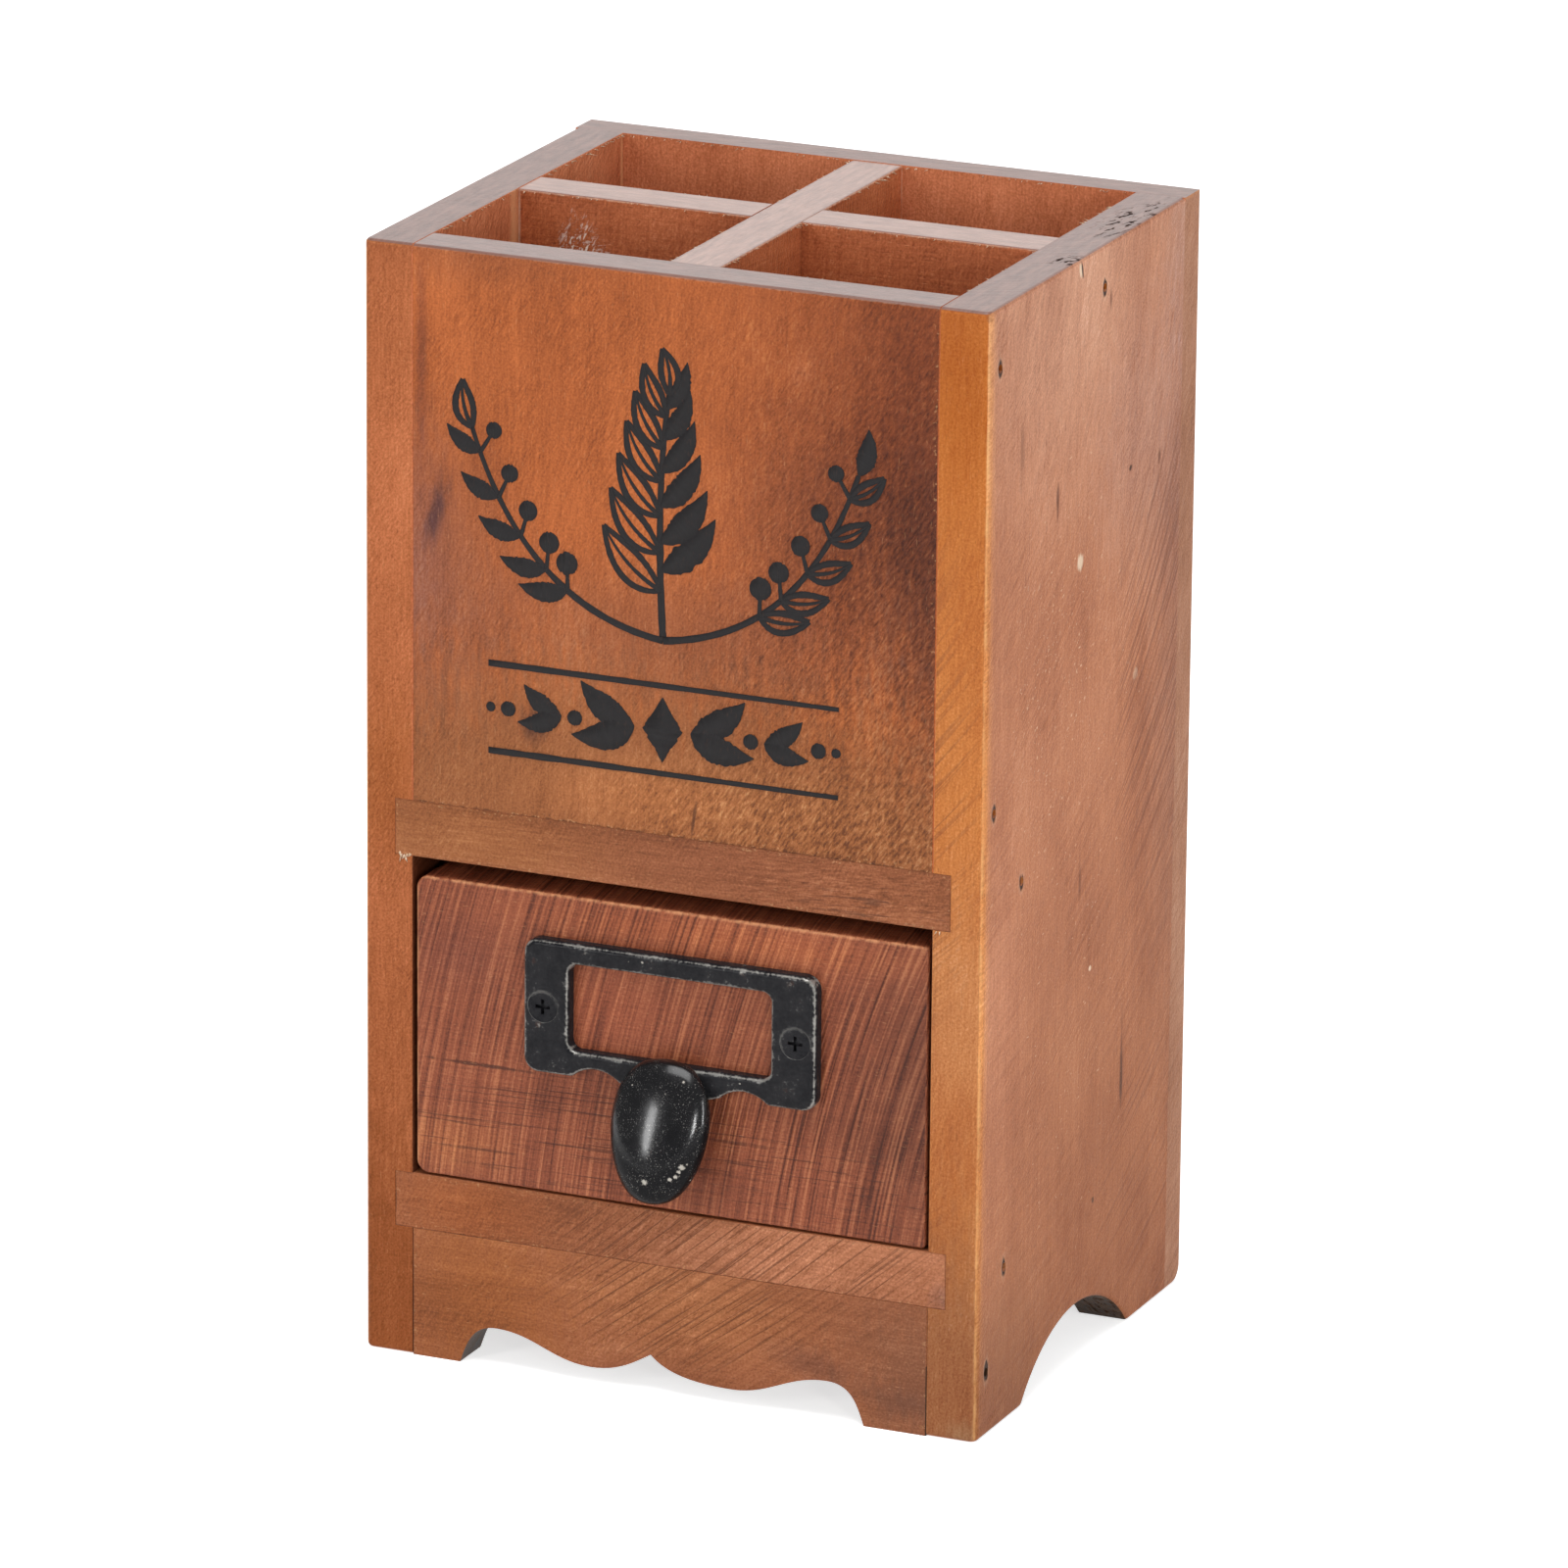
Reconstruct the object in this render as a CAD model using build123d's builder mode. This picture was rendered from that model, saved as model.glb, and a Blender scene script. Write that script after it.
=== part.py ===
from build123d import *
from math import cos, radians, sin
import os

os.makedirs("parts", exist_ok=True)

# Driving sizes, in millimetres. X runs across the front, +Y to the back, +Z up.

# Carcass: outside sizes and boards
width = 110
depth = 89
height = 190
side_thickness = 8.8
front_thickness = 8
back_thickness = 7
shelf_thickness = 9.6
apron_thickness = 8
divider_thickness = 9
housing_depth = 3.2
drawer_floor_top = 31.8
bay_height = 54.8
divider_drop = 0.1
lap_clearance = 0.1
worn_edge = 0.8
corner_round = 1.4
board_edge = 0.3
joint_edge = 0.12
back_foot_round = 3

# Arched cut under each side
front_foot = 19.5
back_foot = 16.5
arch_rise = 10.2
foot_round = 1.5

# Scalloped lower edge of the apron
scallop_shift = -1.2
apron_foot = 9.8
crest_run = 6.6
crest_rise = 6.8
lobe_gap = 25.2
lobe_rise = 2.7
cusp_offset = -1.8
cusp_rise = 6.5

# Drawer
drawer_side_gap = 0.6
drawer_gap_below = 0.3
drawer_gap_above = 3.1
drawer_gap_behind = 0.6
drawer_front_thickness = 9
drawer_side_thickness = 5
drawer_back_thickness = 5
drawer_side_drop = 9.4
drawer_edge = 0.6
drawer_left_corner = 2.2
drawer_right_corner = 0.8
rebate_length = 5
ply_thickness = 3
ply_lift = 4
groove_depth = 2.5
groove_clearance = 0.1

# Cast label frame with its finger pull
pull_shift = 0.9
plate_width = 52.2
plate_height = 22.9
plate_thickness = 2.4
plate_drop = 7.3
plate_corner = 2.6
plate_edge = 1
side_bar = 8.1
low_bar = 4.5
window_drop = 3.6
window_corner = 1.6
tab_width = 8.6
notch_width = 8.6
notch_rise = 1.7
notch_round = 1.2
bulge_drop = 1.5
tongue_length = 22.8
tongue_overlap = 1.1
tongue_half_width = 8.5
tongue_half_depth = 4.4
tongue_root_reach = 2.6
tongue_lean = 5.7
tongue_wall = 2.6
tongue_rim = 1.8
tongue_sections = 12
tongue_cap_angle = 6
tongue_fullness = 0.8
tongue_top_swell = 0.12
tongue_low_swell = 0.25
tongue_curl = 0.9

# Screws of the label frame
screw_edge = 3.6
screw_head_diameter = 5.3
screw_shank_diameter = 2.6
screw_length = 9
screw_angle = 90
screw_clearance = 0.1
recess_length = 2.6
recess_width = 0.6
recess_depth = 0.9

# Brads, punched just below the surface
brad_diameter = 1.4
brad_length = 20
drawer_brad_length = 13
brad_set = 0.7
brad_clearance = 0.1
front_brad_end = 10
compartment_floor_brad_end = 16
drawer_floor_brad_end = 11
cross_brad_drop = 7
cross_brad_shift = 2.6
back_brad_end = 15
back_brad_spread = 25
drawer_brad_end = 11


def tongue_section(step):
    """Drop below the top, half width, reach and half depth of one level section of the pull.

    The levels follow an egg: angle 0 is its top and 180 its tip, and the section leans out
    from the plate as the level falls.
    """
    angle = tongue_cap_angle + (180 - 2 * tongue_cap_angle) * step / tongue_sections
    level = cos(radians(angle))
    swell = sin(radians(angle)) ** tongue_fullness
    return (
        tongue_length / 2 * (level - 1),
        tongue_half_width * swell * (1 + tongue_top_swell * level),
        tongue_root_reach + tongue_lean * ((1 - level) / 2) ** tongue_curl,
        tongue_half_depth * swell * (1 - tongue_low_swell * level),
    )


tongue = [tongue_section(step) for step in range(tongue_sections + 1)]
hollow_of_tongue = tongue[3:-2]
pull_reach = max(reach + half_depth for _, _, reach, half_depth in tongue)

# Planes and levels that follow from the sizes
front_y = (pull_reach - depth) / 2
rear_y = front_y + depth
back_inner_y = rear_y - back_thickness
inner_x = width / 2 - side_thickness
drawer_floor_bottom = drawer_floor_top - shelf_thickness
bay_top = drawer_floor_top + bay_height
compartment_floor_top = bay_top + shelf_thickness
shelf_width = 2 * (inner_x + housing_depth)
well_front_y = front_y + front_thickness
well_depth = back_inner_y - well_front_y
well_middle_y = well_front_y + well_depth / 2
divider_height = height - divider_drop - compartment_floor_top

drawer_width = 2 * (inner_x - drawer_side_gap)
drawer_low = drawer_floor_top + drawer_gap_below
drawer_front_height = bay_height - drawer_gap_below - drawer_gap_above
drawer_top = drawer_low + drawer_front_height
drawer_side_height = drawer_front_height - drawer_side_drop
drawer_rear_y = back_inner_y - drawer_gap_behind
drawer_front_inner_y = front_y + drawer_front_thickness
drawer_side_front_y = drawer_front_inner_y - rebate_length
drawer_side_x = drawer_width / 2 - drawer_side_thickness
ply_low = drawer_low + ply_lift

plate_top = drawer_top - plate_drop
plate_low = plate_top - plate_height
window_width = plate_width - 2 * side_bar
window_height = plate_height - window_drop - low_bar
tongue_top_drop = plate_height - low_bar - tongue_overlap
tongue_top = plate_top - tongue_top_drop
screw_spacing = plate_width - 2 * screw_edge
screw_z = plate_top - plate_height / 2

LOW_CORNER = (Align.MIN, Align.MIN, Align.MIN)
ON_FACE = (Align.CENTER, Align.CENTER, Align.MIN)


def board(low, high):
    """A square-edged board between two opposite corners."""
    with Locations(low):
        return Box(*(top - bottom for bottom, top in zip(low, high)), align=LOW_CORNER)


def groove(low, high):
    """A square cut between two opposite corners."""
    with Locations(low):
        return Box(*(top - bottom for bottom, top in zip(low, high)), align=LOW_CORNER, mode=Mode.SUBTRACT)


def through_sides(face_x, places):
    """Planes on the two outer faces at x = -face_x and +face_x, looking inwards, one per (y, z)."""
    return [
        Plane(origin=(sign * face_x, y, z), x_dir=(0, 1, 0), z_dir=(-sign, 0, 0))
        for sign in (-1, 1)
        for y, z in places
    ]


def through_back(places):
    """Planes on the rear face, looking forwards, one per (x, z)."""
    return [Plane(origin=(x, rear_y, z), x_dir=(1, 0, 0), z_dir=(0, -1, 0)) for x, z in places]


def bore_for_brads(planes, length):
    """Holes for brads driven in from the given planes."""
    radius = (brad_diameter + brad_clearance) / 2
    with Locations(*planes):
        Cylinder(radius, length + brad_set, align=ON_FACE, mode=Mode.SUBTRACT)


def export(piece, label):
    """Names a finished piece and writes it."""
    piece.part.label = label
    export_step(piece.part, f"parts/{label}.step")


# Where the brads go
front_levels = (height - front_brad_end, compartment_floor_top + front_brad_end)
front_brads = through_sides(width / 2, [(front_y + front_thickness / 2, level) for level in front_levels])
compartment_floor_brads = through_sides(
    width / 2,
    [(front_y + compartment_floor_brad_end, compartment_floor_top - shelf_thickness / 2)],
)
drawer_floor_brads = through_sides(
    width / 2,
    [(front_y + drawer_floor_brad_end, drawer_floor_top - shelf_thickness / 2)],
)
apron_brads = through_sides(width / 2, [(front_y + apron_thickness / 2, drawer_floor_bottom / 2)])
cross_brads = through_sides(width / 2, [(well_middle_y + cross_brad_shift, height - cross_brad_drop)])
back_levels = (back_brad_end, bay_top - back_brad_end, height - back_brad_end)
back_side_brads = through_back(
    [(sign * (width - side_thickness) / 2, level) for sign in (-1, 1) for level in back_levels]
)
back_shelf_brads = {
    level: through_back([(sign * back_brad_spread, level - shelf_thickness / 2) for sign in (-1, 1)])
    for level in (drawer_floor_top, compartment_floor_top)
}
long_divider_levels = (compartment_floor_top + front_brad_end, height - front_brad_end)
long_divider_brads = through_back([(0, level) for level in long_divider_levels])
back_brads = back_side_brads + back_shelf_brads[drawer_floor_top] + back_shelf_brads[compartment_floor_top]
side_brads = front_brads + compartment_floor_brads + drawer_floor_brads + apron_brads + cross_brads
drawer_brad_levels = (drawer_low + drawer_brad_end, drawer_low + drawer_side_height - drawer_brad_end)
drawer_front_brads = through_sides(
    drawer_width / 2,
    [(drawer_front_inner_y - rebate_length / 2, level) for level in drawer_brad_levels],
)
drawer_back_brads = through_sides(
    drawer_width / 2,
    [(drawer_rear_y - drawer_back_thickness / 2, level) for level in drawer_brad_levels],
)

# Sides, with the arch between their feet and the housings for both shelves
for side_label, sign in (("left_side", -1), ("right_side", 1)):
    with BuildPart() as side:
        with BuildSketch(Plane.YZ.offset(sign * width / 2)):
            with BuildLine():
                arch_start = (front_y + front_foot, 0)
                arch_end = (back_inner_y - back_foot, 0)
                arch_top = ((arch_start[0] + arch_end[0]) / 2, arch_rise)
                ThreePointArc(arch_start, arch_top, arch_end)
                Polyline(
                    arch_end,
                    (back_inner_y, 0),
                    (back_inner_y, height),
                    (front_y, height),
                    (front_y, 0),
                    arch_start,
                )
            make_face()
            fillet(vertices().group_by(Axis.Y)[0].sort_by(Axis.X)[1:3], foot_round)
        extrude(amount=-sign * side_thickness)
        outer_edges = side.faces().sort_by(Axis.X)[0 if sign < 0 else -1].edges()
        fillet(outer_edges.sort_by(Axis.Y)[0], corner_round)
        outer_edges = side.faces().sort_by(Axis.X)[0 if sign < 0 else -1].edges()
        fillet(outer_edges.sort_by(Axis.Y)[1:-1], worn_edge)
        inner_edges = side.faces().sort_by(Axis.X)[-1 if sign < 0 else 0].edges()
        chamfer([inner_edges.sort_by(Axis.Y)[0], inner_edges.sort_by(Axis.Z)[-1]], joint_edge)
        for shelf_top in (drawer_floor_top, compartment_floor_top):
            housing_x = sorted((sign * inner_x, sign * (inner_x + housing_depth)))
            groove(
                (housing_x[0], front_y, shelf_top - shelf_thickness),
                (housing_x[1], back_inner_y, shelf_top),
            )
        bore_for_brads(side_brads + back_side_brads, brad_length)
    export(side, side_label)

# Front panel between the sides
with BuildPart() as front_panel:
    board((-inner_x, front_y, compartment_floor_top), (inner_x, well_front_y, height))
    face_edges = front_panel.faces().sort_by(Axis.Y)[0].edges()
    fillet(face_edges.sort_by(Axis.Z)[-1], worn_edge)
    face_edges = front_panel.faces().sort_by(Axis.Y)[0].edges()
    chamfer([face_edges.sort_by(Axis.X)[0], face_edges.sort_by(Axis.X)[-1]], joint_edge)
    bore_for_brads(front_brads, brad_length)
export(front_panel, "front_panel")

# Back panel across the ends of the sides, eased along the floor
with BuildPart() as back_panel:
    board((-width / 2, back_inner_y, 0), (width / 2, rear_y, height))
    rear_edges = back_panel.faces().sort_by(Axis.Y)[-1].edges().sort_by(Axis.Z)
    fillet(rear_edges[0], back_foot_round)
    fillet(back_panel.faces().sort_by(Axis.Y)[-1].edges().sort_by(Axis.Z)[1:], worn_edge)
    bore_for_brads(back_brads + long_divider_brads, brad_length)
export(back_panel, "back_panel")

# The two shelves: the floor of the compartments and the floor the drawer runs on
shelves = (
    ("compartment_floor", compartment_floor_top, compartment_floor_brads),
    ("drawer_floor", drawer_floor_top, drawer_floor_brads),
)
for shelf_label, shelf_top, shelf_brads in shelves:
    with BuildPart() as shelf:
        board(
            (-shelf_width / 2, front_y, shelf_top - shelf_thickness),
            (shelf_width / 2, back_inner_y, shelf_top),
        )
        chamfer(shelf.faces().sort_by(Axis.Y)[0].edges(), joint_edge)
        bore_for_brads(shelf_brads + back_shelf_brads[shelf_top], brad_length)
    export(shelf, shelf_label)

# Scalloped apron between the front feet
with BuildPart() as apron:
    with BuildSketch(Plane.XZ.offset(-front_y)):
        with BuildLine():
            foot_x = inner_x - apron_foot
            crest_x = foot_x - crest_run
            left_foot_end = (scallop_shift - foot_x, 0)
            left_crest = (scallop_shift - crest_x, crest_rise)
            left_lobe = (scallop_shift - lobe_gap / 2, lobe_rise)
            cusp = (scallop_shift + cusp_offset, cusp_rise)
            right_lobe = (scallop_shift + lobe_gap / 2, lobe_rise)
            right_crest = (scallop_shift + crest_x, crest_rise)
            right_foot_end = (scallop_shift + foot_x, 0)
            Spline(left_foot_end, left_crest, tangents=[(0.35, 1), (1, 0)])
            Spline(left_crest, left_lobe, tangents=[(1, 0), (1, 0)])
            Spline(left_lobe, cusp, tangents=[(1, 0), (1, 0.6)])
            Spline(cusp, right_lobe, tangents=[(1, -1), (1, 0)])
            Spline(right_lobe, right_crest, tangents=[(1, 0), (1, 0)])
            Spline(right_crest, right_foot_end, tangents=[(1, 0), (0.35, -1)])
            Polyline(
                right_foot_end,
                (inner_x, 0),
                (inner_x, drawer_floor_bottom),
                (-inner_x, drawer_floor_bottom),
                (-inner_x, 0),
                left_foot_end,
            )
        make_face()
    extrude(amount=-apron_thickness)
    apron_sides = apron.faces().sort_by(Axis.Y)[0].edges().filter_by(Axis.Z)
    chamfer(apron_sides, joint_edge)
    bore_for_brads(apron_brads, brad_length)
export(apron, "apron")

# Dividers, halved over each other where they cross
lap_width = divider_thickness + lap_clearance
lap_level = compartment_floor_top + divider_height / 2
divider_top = compartment_floor_top + divider_height

with BuildPart() as long_divider:
    board(
        (-divider_thickness / 2, well_front_y, compartment_floor_top),
        (divider_thickness / 2, back_inner_y, divider_top),
    )
    fillet(long_divider.faces().sort_by(Axis.Z)[-1].edges().filter_by(Axis.Y), board_edge)
    groove(
        (-divider_thickness / 2, well_middle_y - lap_width / 2, compartment_floor_top),
        (divider_thickness / 2, well_middle_y + lap_width / 2, lap_level),
    )
    bore_for_brads(long_divider_brads, brad_length)
export(long_divider, "long_divider")

with BuildPart() as cross_divider:
    board(
        (-inner_x, well_middle_y - divider_thickness / 2, compartment_floor_top),
        (inner_x, well_middle_y + divider_thickness / 2, divider_top),
    )
    fillet(cross_divider.faces().sort_by(Axis.Z)[-1].edges().filter_by(Axis.X), board_edge)
    groove(
        (-lap_width / 2, well_middle_y - divider_thickness / 2, lap_level),
        (lap_width / 2, well_middle_y + divider_thickness / 2, divider_top),
    )
    bore_for_brads(cross_brads, brad_length)
export(cross_divider, "cross_divider")

# Drawer front, rebated at its ends for the sides and grooved for the bottom
ply_reach_x = drawer_side_x + groove_depth
ply_front_y = drawer_front_inner_y - groove_depth
ply_rear_y = drawer_rear_y - drawer_back_thickness + groove_depth
groove_low = ply_low - groove_clearance
groove_high = ply_low + ply_thickness + groove_clearance
screw_places = [
    Plane(
        origin=(pull_shift + sign * screw_spacing / 2, front_y - plate_thickness, screw_z),
        x_dir=(1, 0, 0),
        z_dir=(0, 1, 0),
    )
    for sign in (-1, 1)
]

with BuildPart() as drawer_front:
    board((-drawer_width / 2, front_y, drawer_low), (drawer_width / 2, drawer_front_inner_y, drawer_top))
    fillet(drawer_front.edges().filter_by(Axis.Y).sort_by(Axis.X)[:2], drawer_left_corner)
    fillet(drawer_front.edges().filter_by(Axis.Y).sort_by(Axis.X)[-2:], drawer_right_corner)
    fillet(drawer_front.faces().sort_by(Axis.Y)[0].edges(), drawer_edge)
    for sign in (-1, 1):
        rebate_x = sorted((sign * drawer_side_x, sign * drawer_width / 2))
        groove(
            (rebate_x[0], drawer_side_front_y, drawer_low),
            (rebate_x[1], drawer_front_inner_y, drawer_low + drawer_side_height),
        )
    groove((-drawer_side_x, ply_front_y, groove_low), (drawer_side_x, drawer_front_inner_y, groove_high))
    with Locations(*screw_places):
        pilot_radius = (screw_shank_diameter + screw_clearance) / 2
        Cylinder(pilot_radius, screw_length + screw_clearance, align=ON_FACE, mode=Mode.SUBTRACT)
    bore_for_brads(drawer_front_brads, drawer_brad_length)
export(drawer_front, "drawer_front")

# Drawer sides
for side_label, sign in (("drawer_left_side", -1), ("drawer_right_side", 1)):
    with BuildPart() as drawer_side:
        board_x = sorted((sign * drawer_side_x, sign * drawer_width / 2))
        board(
            (board_x[0], drawer_side_front_y, drawer_low),
            (board_x[1], drawer_rear_y, drawer_low + drawer_side_height),
        )
        fillet(drawer_side.faces().sort_by(Axis.Z)[-1].edges().filter_by(Axis.Y), board_edge)
        groove_x = sorted((sign * drawer_side_x, sign * ply_reach_x))
        groove((groove_x[0], ply_front_y, groove_low), (groove_x[1], ply_rear_y, groove_high))
        bore_for_brads(drawer_front_brads + drawer_back_brads, drawer_brad_length)
    export(drawer_side, side_label)

# Drawer back between the drawer sides
with BuildPart() as drawer_back:
    drawer_back_y = drawer_rear_y - drawer_back_thickness
    board(
        (-drawer_side_x, drawer_back_y, drawer_low),
        (drawer_side_x, drawer_rear_y, drawer_low + drawer_side_height),
    )
    fillet(drawer_back.faces().sort_by(Axis.Z)[-1].edges().filter_by(Axis.X), board_edge)
    groove((-drawer_side_x, drawer_back_y, groove_low), (drawer_side_x, ply_rear_y, groove_high))
    bore_for_brads(drawer_back_brads, drawer_brad_length)
export(drawer_back, "drawer_back")

# Plywood bottom, held in the grooves
with BuildPart() as drawer_bottom:
    board(
        (groove_clearance - ply_reach_x, ply_front_y + groove_clearance, ply_low),
        (ply_reach_x - groove_clearance, ply_rear_y - groove_clearance, ply_low + ply_thickness),
    )
export(drawer_bottom, "drawer_bottom")

# Label frame and finger pull, one casting
with BuildPart() as label_pull:
    with BuildSketch(Plane.XZ.offset(-front_y)):
        with BuildLine():
            half_plate = plate_width / 2
            tab_x = half_plate - tab_width
            notch_x = tab_x - notch_width
            left, right = pull_shift - half_plate, pull_shift + half_plate
            Polyline(
                (pull_shift - tab_x, plate_low),
                (left, plate_low),
                (left, plate_top),
                (right, plate_top),
                (right, plate_low),
                (pull_shift + tab_x, plate_low),
            )
            for sign in (-1, 1):
                ThreePointArc(
                    (pull_shift + sign * tab_x, plate_low),
                    (pull_shift + sign * (tab_x - notch_width / 2), plate_low + notch_rise),
                    (pull_shift + sign * notch_x, plate_low),
                )
            ThreePointArc(
                (pull_shift - notch_x, plate_low),
                (pull_shift, plate_low - bulge_drop),
                (pull_shift + notch_x, plate_low),
            )
        make_face()
        fillet(vertices().group_by(Axis.Y)[0].sort_by(Axis.X)[1:-1], notch_round)
        fillet(vertices().sort_by(Axis.X)[:2] + vertices().sort_by(Axis.X)[-2:], plate_corner)
        with Locations((pull_shift, plate_top - window_drop - window_height / 2)):
            RectangleRounded(window_width, window_height, window_corner, mode=Mode.SUBTRACT)
    extrude(amount=plate_thickness)
    fillet(label_pull.faces().sort_by(Axis.Y)[0].edges(), plate_edge)
    with Locations(*(Plane(place.origin, place.x_dir, -place.z_dir) for place in screw_places)):
        CounterSinkHole(
            (screw_shank_diameter + screw_clearance) / 2,
            (screw_head_diameter + screw_clearance) / 2,
            plate_thickness,
            screw_angle,
        )
    for drop, half_width, reach, half_depth in tongue:
        with BuildSketch(Plane.XY.offset(tongue_top + drop)):
            with Locations((pull_shift, front_y - reach)):
                Ellipse(half_width, half_depth)
    loft()
    for drop, half_width, reach, half_depth in hollow_of_tongue:
        with BuildSketch(Plane.XY.offset(tongue_top + drop)):
            with Locations((pull_shift, front_y - reach + tongue_wall)):
                Ellipse(half_width - tongue_rim, half_depth)
    loft(mode=Mode.SUBTRACT)
export(label_pull, "label_pull")

# Countersunk screws with cross recesses
with BuildPart() as label_pull_screws:
    head_height = (screw_head_diameter - screw_shank_diameter) / 2
    with Locations(*screw_places):
        Cone(screw_head_diameter / 2, screw_shank_diameter / 2, head_height, align=ON_FACE)
        Cylinder(screw_shank_diameter / 2, screw_length, align=ON_FACE)
        Box(recess_length, recess_width, recess_depth, align=ON_FACE, mode=Mode.SUBTRACT)
        Box(recess_width, recess_length, recess_depth, align=ON_FACE, mode=Mode.SUBTRACT)
export(label_pull_screws, "label_pull_screws")

# Brads, one group for each board that they hold
brad_groups = (
    ("front_panel_brads", front_brads, brad_length),
    ("compartment_floor_brads", compartment_floor_brads, brad_length),
    ("drawer_floor_brads", drawer_floor_brads, brad_length),
    ("apron_brads", apron_brads, brad_length),
    ("cross_divider_brads", cross_brads, brad_length),
    ("long_divider_brads", long_divider_brads, brad_length),
    ("back_panel_brads", back_brads, brad_length),
    ("drawer_front_brads", drawer_front_brads, drawer_brad_length),
    ("drawer_back_brads", drawer_back_brads, drawer_brad_length),
)
for group_label, planes, length in brad_groups:
    with BuildPart() as brads:
        with Locations(*(plane.offset(brad_set) for plane in planes)):
            Cylinder(brad_diameter / 2, length, align=ON_FACE)
    export(brads, group_label)
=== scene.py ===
"""Looks of a wooden desk organizer with one drawer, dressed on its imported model.

Lengths are in millimetres in the frame of the part: X runs across the front, +Y to the back and
+Z up. They become metres only where a mesh, a lamp or the camera is made.
"""

from __future__ import annotations

import logging
import math
from dataclasses import dataclass, replace
from enum import Enum
from typing import Callable, Mapping, Optional, Sequence, Union

import bpy
import numpy as np
from mathutils import Matrix, Vector


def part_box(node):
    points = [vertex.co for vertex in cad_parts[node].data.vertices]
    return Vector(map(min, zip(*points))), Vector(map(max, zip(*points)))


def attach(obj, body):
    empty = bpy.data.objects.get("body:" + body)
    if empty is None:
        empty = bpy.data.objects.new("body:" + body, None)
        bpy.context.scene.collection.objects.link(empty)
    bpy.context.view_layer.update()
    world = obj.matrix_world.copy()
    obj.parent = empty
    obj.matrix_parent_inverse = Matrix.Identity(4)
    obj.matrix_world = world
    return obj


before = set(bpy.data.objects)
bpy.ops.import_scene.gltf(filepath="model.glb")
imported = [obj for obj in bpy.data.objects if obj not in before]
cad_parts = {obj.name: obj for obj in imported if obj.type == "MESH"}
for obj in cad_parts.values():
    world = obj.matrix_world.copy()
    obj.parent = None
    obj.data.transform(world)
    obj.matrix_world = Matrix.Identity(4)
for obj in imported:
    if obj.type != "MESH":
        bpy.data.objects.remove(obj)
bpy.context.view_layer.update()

LOG = logging.getLogger("desk_organizer")
MM = 0.001
FAR = 1000.0
BRAD_REACH = 2.0

Rgb = tuple[float, float, float]
Tones = tuple[Rgb, Rgb, Rgb, Rgb]
Corners = tuple[np.ndarray, np.ndarray]


def node_box(node: str) -> Corners:
    """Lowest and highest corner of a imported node.

    Args:
        node: name of the node.

    Returns:
        The two corners in millimetres.
    """
    low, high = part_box(node)
    return np.array(low) / MM, np.array(high) / MM


def linear(colour: Rgb) -> tuple[float, float, float, float]:
    """A display colour, each channel from 0 to 255, as the linear colour that a socket takes.

    The steps are those of the sRGB curve: a straight line for dark values and a power above it.

    Args:
        colour: red, green and blue as they look on a screen.

    Returns:
        Linear red, green, blue and an alpha of 1.
    """
    share = np.array(colour) / 255
    bright = ((share + 0.055) / 1.055) ** 2.4
    dim = share / 12.92
    red, green, blue = np.where(share > 0.04045, bright, dim)
    return float(red), float(green), float(blue), 1.0


def _operator(operation: str, swapped: bool = False) -> Callable[[Signal, Value], Signal]:
    """Makes an arithmetic method of Signal, which adds one Math node.

    Args:
        operation: the Math node's operation.
        swapped: whether the signal stands on the right of the operator.

    Returns:
        The method.
    """

    def method(self: Signal, other: Value) -> Signal:
        """Result of the operation on the signal and the other value."""
        terms = (other, self) if swapped else (self, other)
        return self.graph.maths(operation, *terms)

    return method


class Signal:
    """A node's output socket; arithmetic on signals adds Math nodes to their graph."""

    def __init__(self, graph: Graph, socket: bpy.types.NodeSocket) -> None:
        """Keeps the graph and the socket."""
        self.graph = graph
        self.socket = socket

    __add__ = _operator("ADD")
    __radd__ = _operator("ADD", swapped=True)
    __sub__ = _operator("SUBTRACT")
    __rsub__ = _operator("SUBTRACT", swapped=True)
    __mul__ = _operator("MULTIPLY")
    __rmul__ = _operator("MULTIPLY", swapped=True)
    __truediv__ = _operator("DIVIDE")
    __rtruediv__ = _operator("DIVIDE", swapped=True)
    __pow__ = _operator("POWER")

    def __abs__(self) -> Signal:
        """Size without its sign."""
        return self.graph.maths("ABSOLUTE", self)

    def above(self, level: Value) -> Signal:
        """1 where the signal is above the level, and 0 elsewhere."""
        return self.graph.maths("GREATER_THAN", self, level)

    def smooth(self, start: Value, end: Value) -> Signal:
        """Smooth step.

        Args:
            start: value at which the step is 0.
            end: value at which it is 1; it may lie below start.

        Returns:
            A signal from 0 to 1.
        """
        settings = {"interpolation_type": "SMOOTHSTEP"}
        return self.graph.node("ShaderNodeMapRange", settings, {0: self, 1: start, 2: end})

    def output(self, name: str) -> Signal:
        """Another output of the same node."""
        return Signal(self.graph, self.socket.node.outputs[name])


Value = Union[Signal, float, int]
Paint = Union[Signal, Rgb]


def distance(across: Signal, up: Signal) -> Signal:
    """Distance from where two coordinates are 0: the root of the sum of their squares."""
    return (across * across + up * up) ** 0.5


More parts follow.
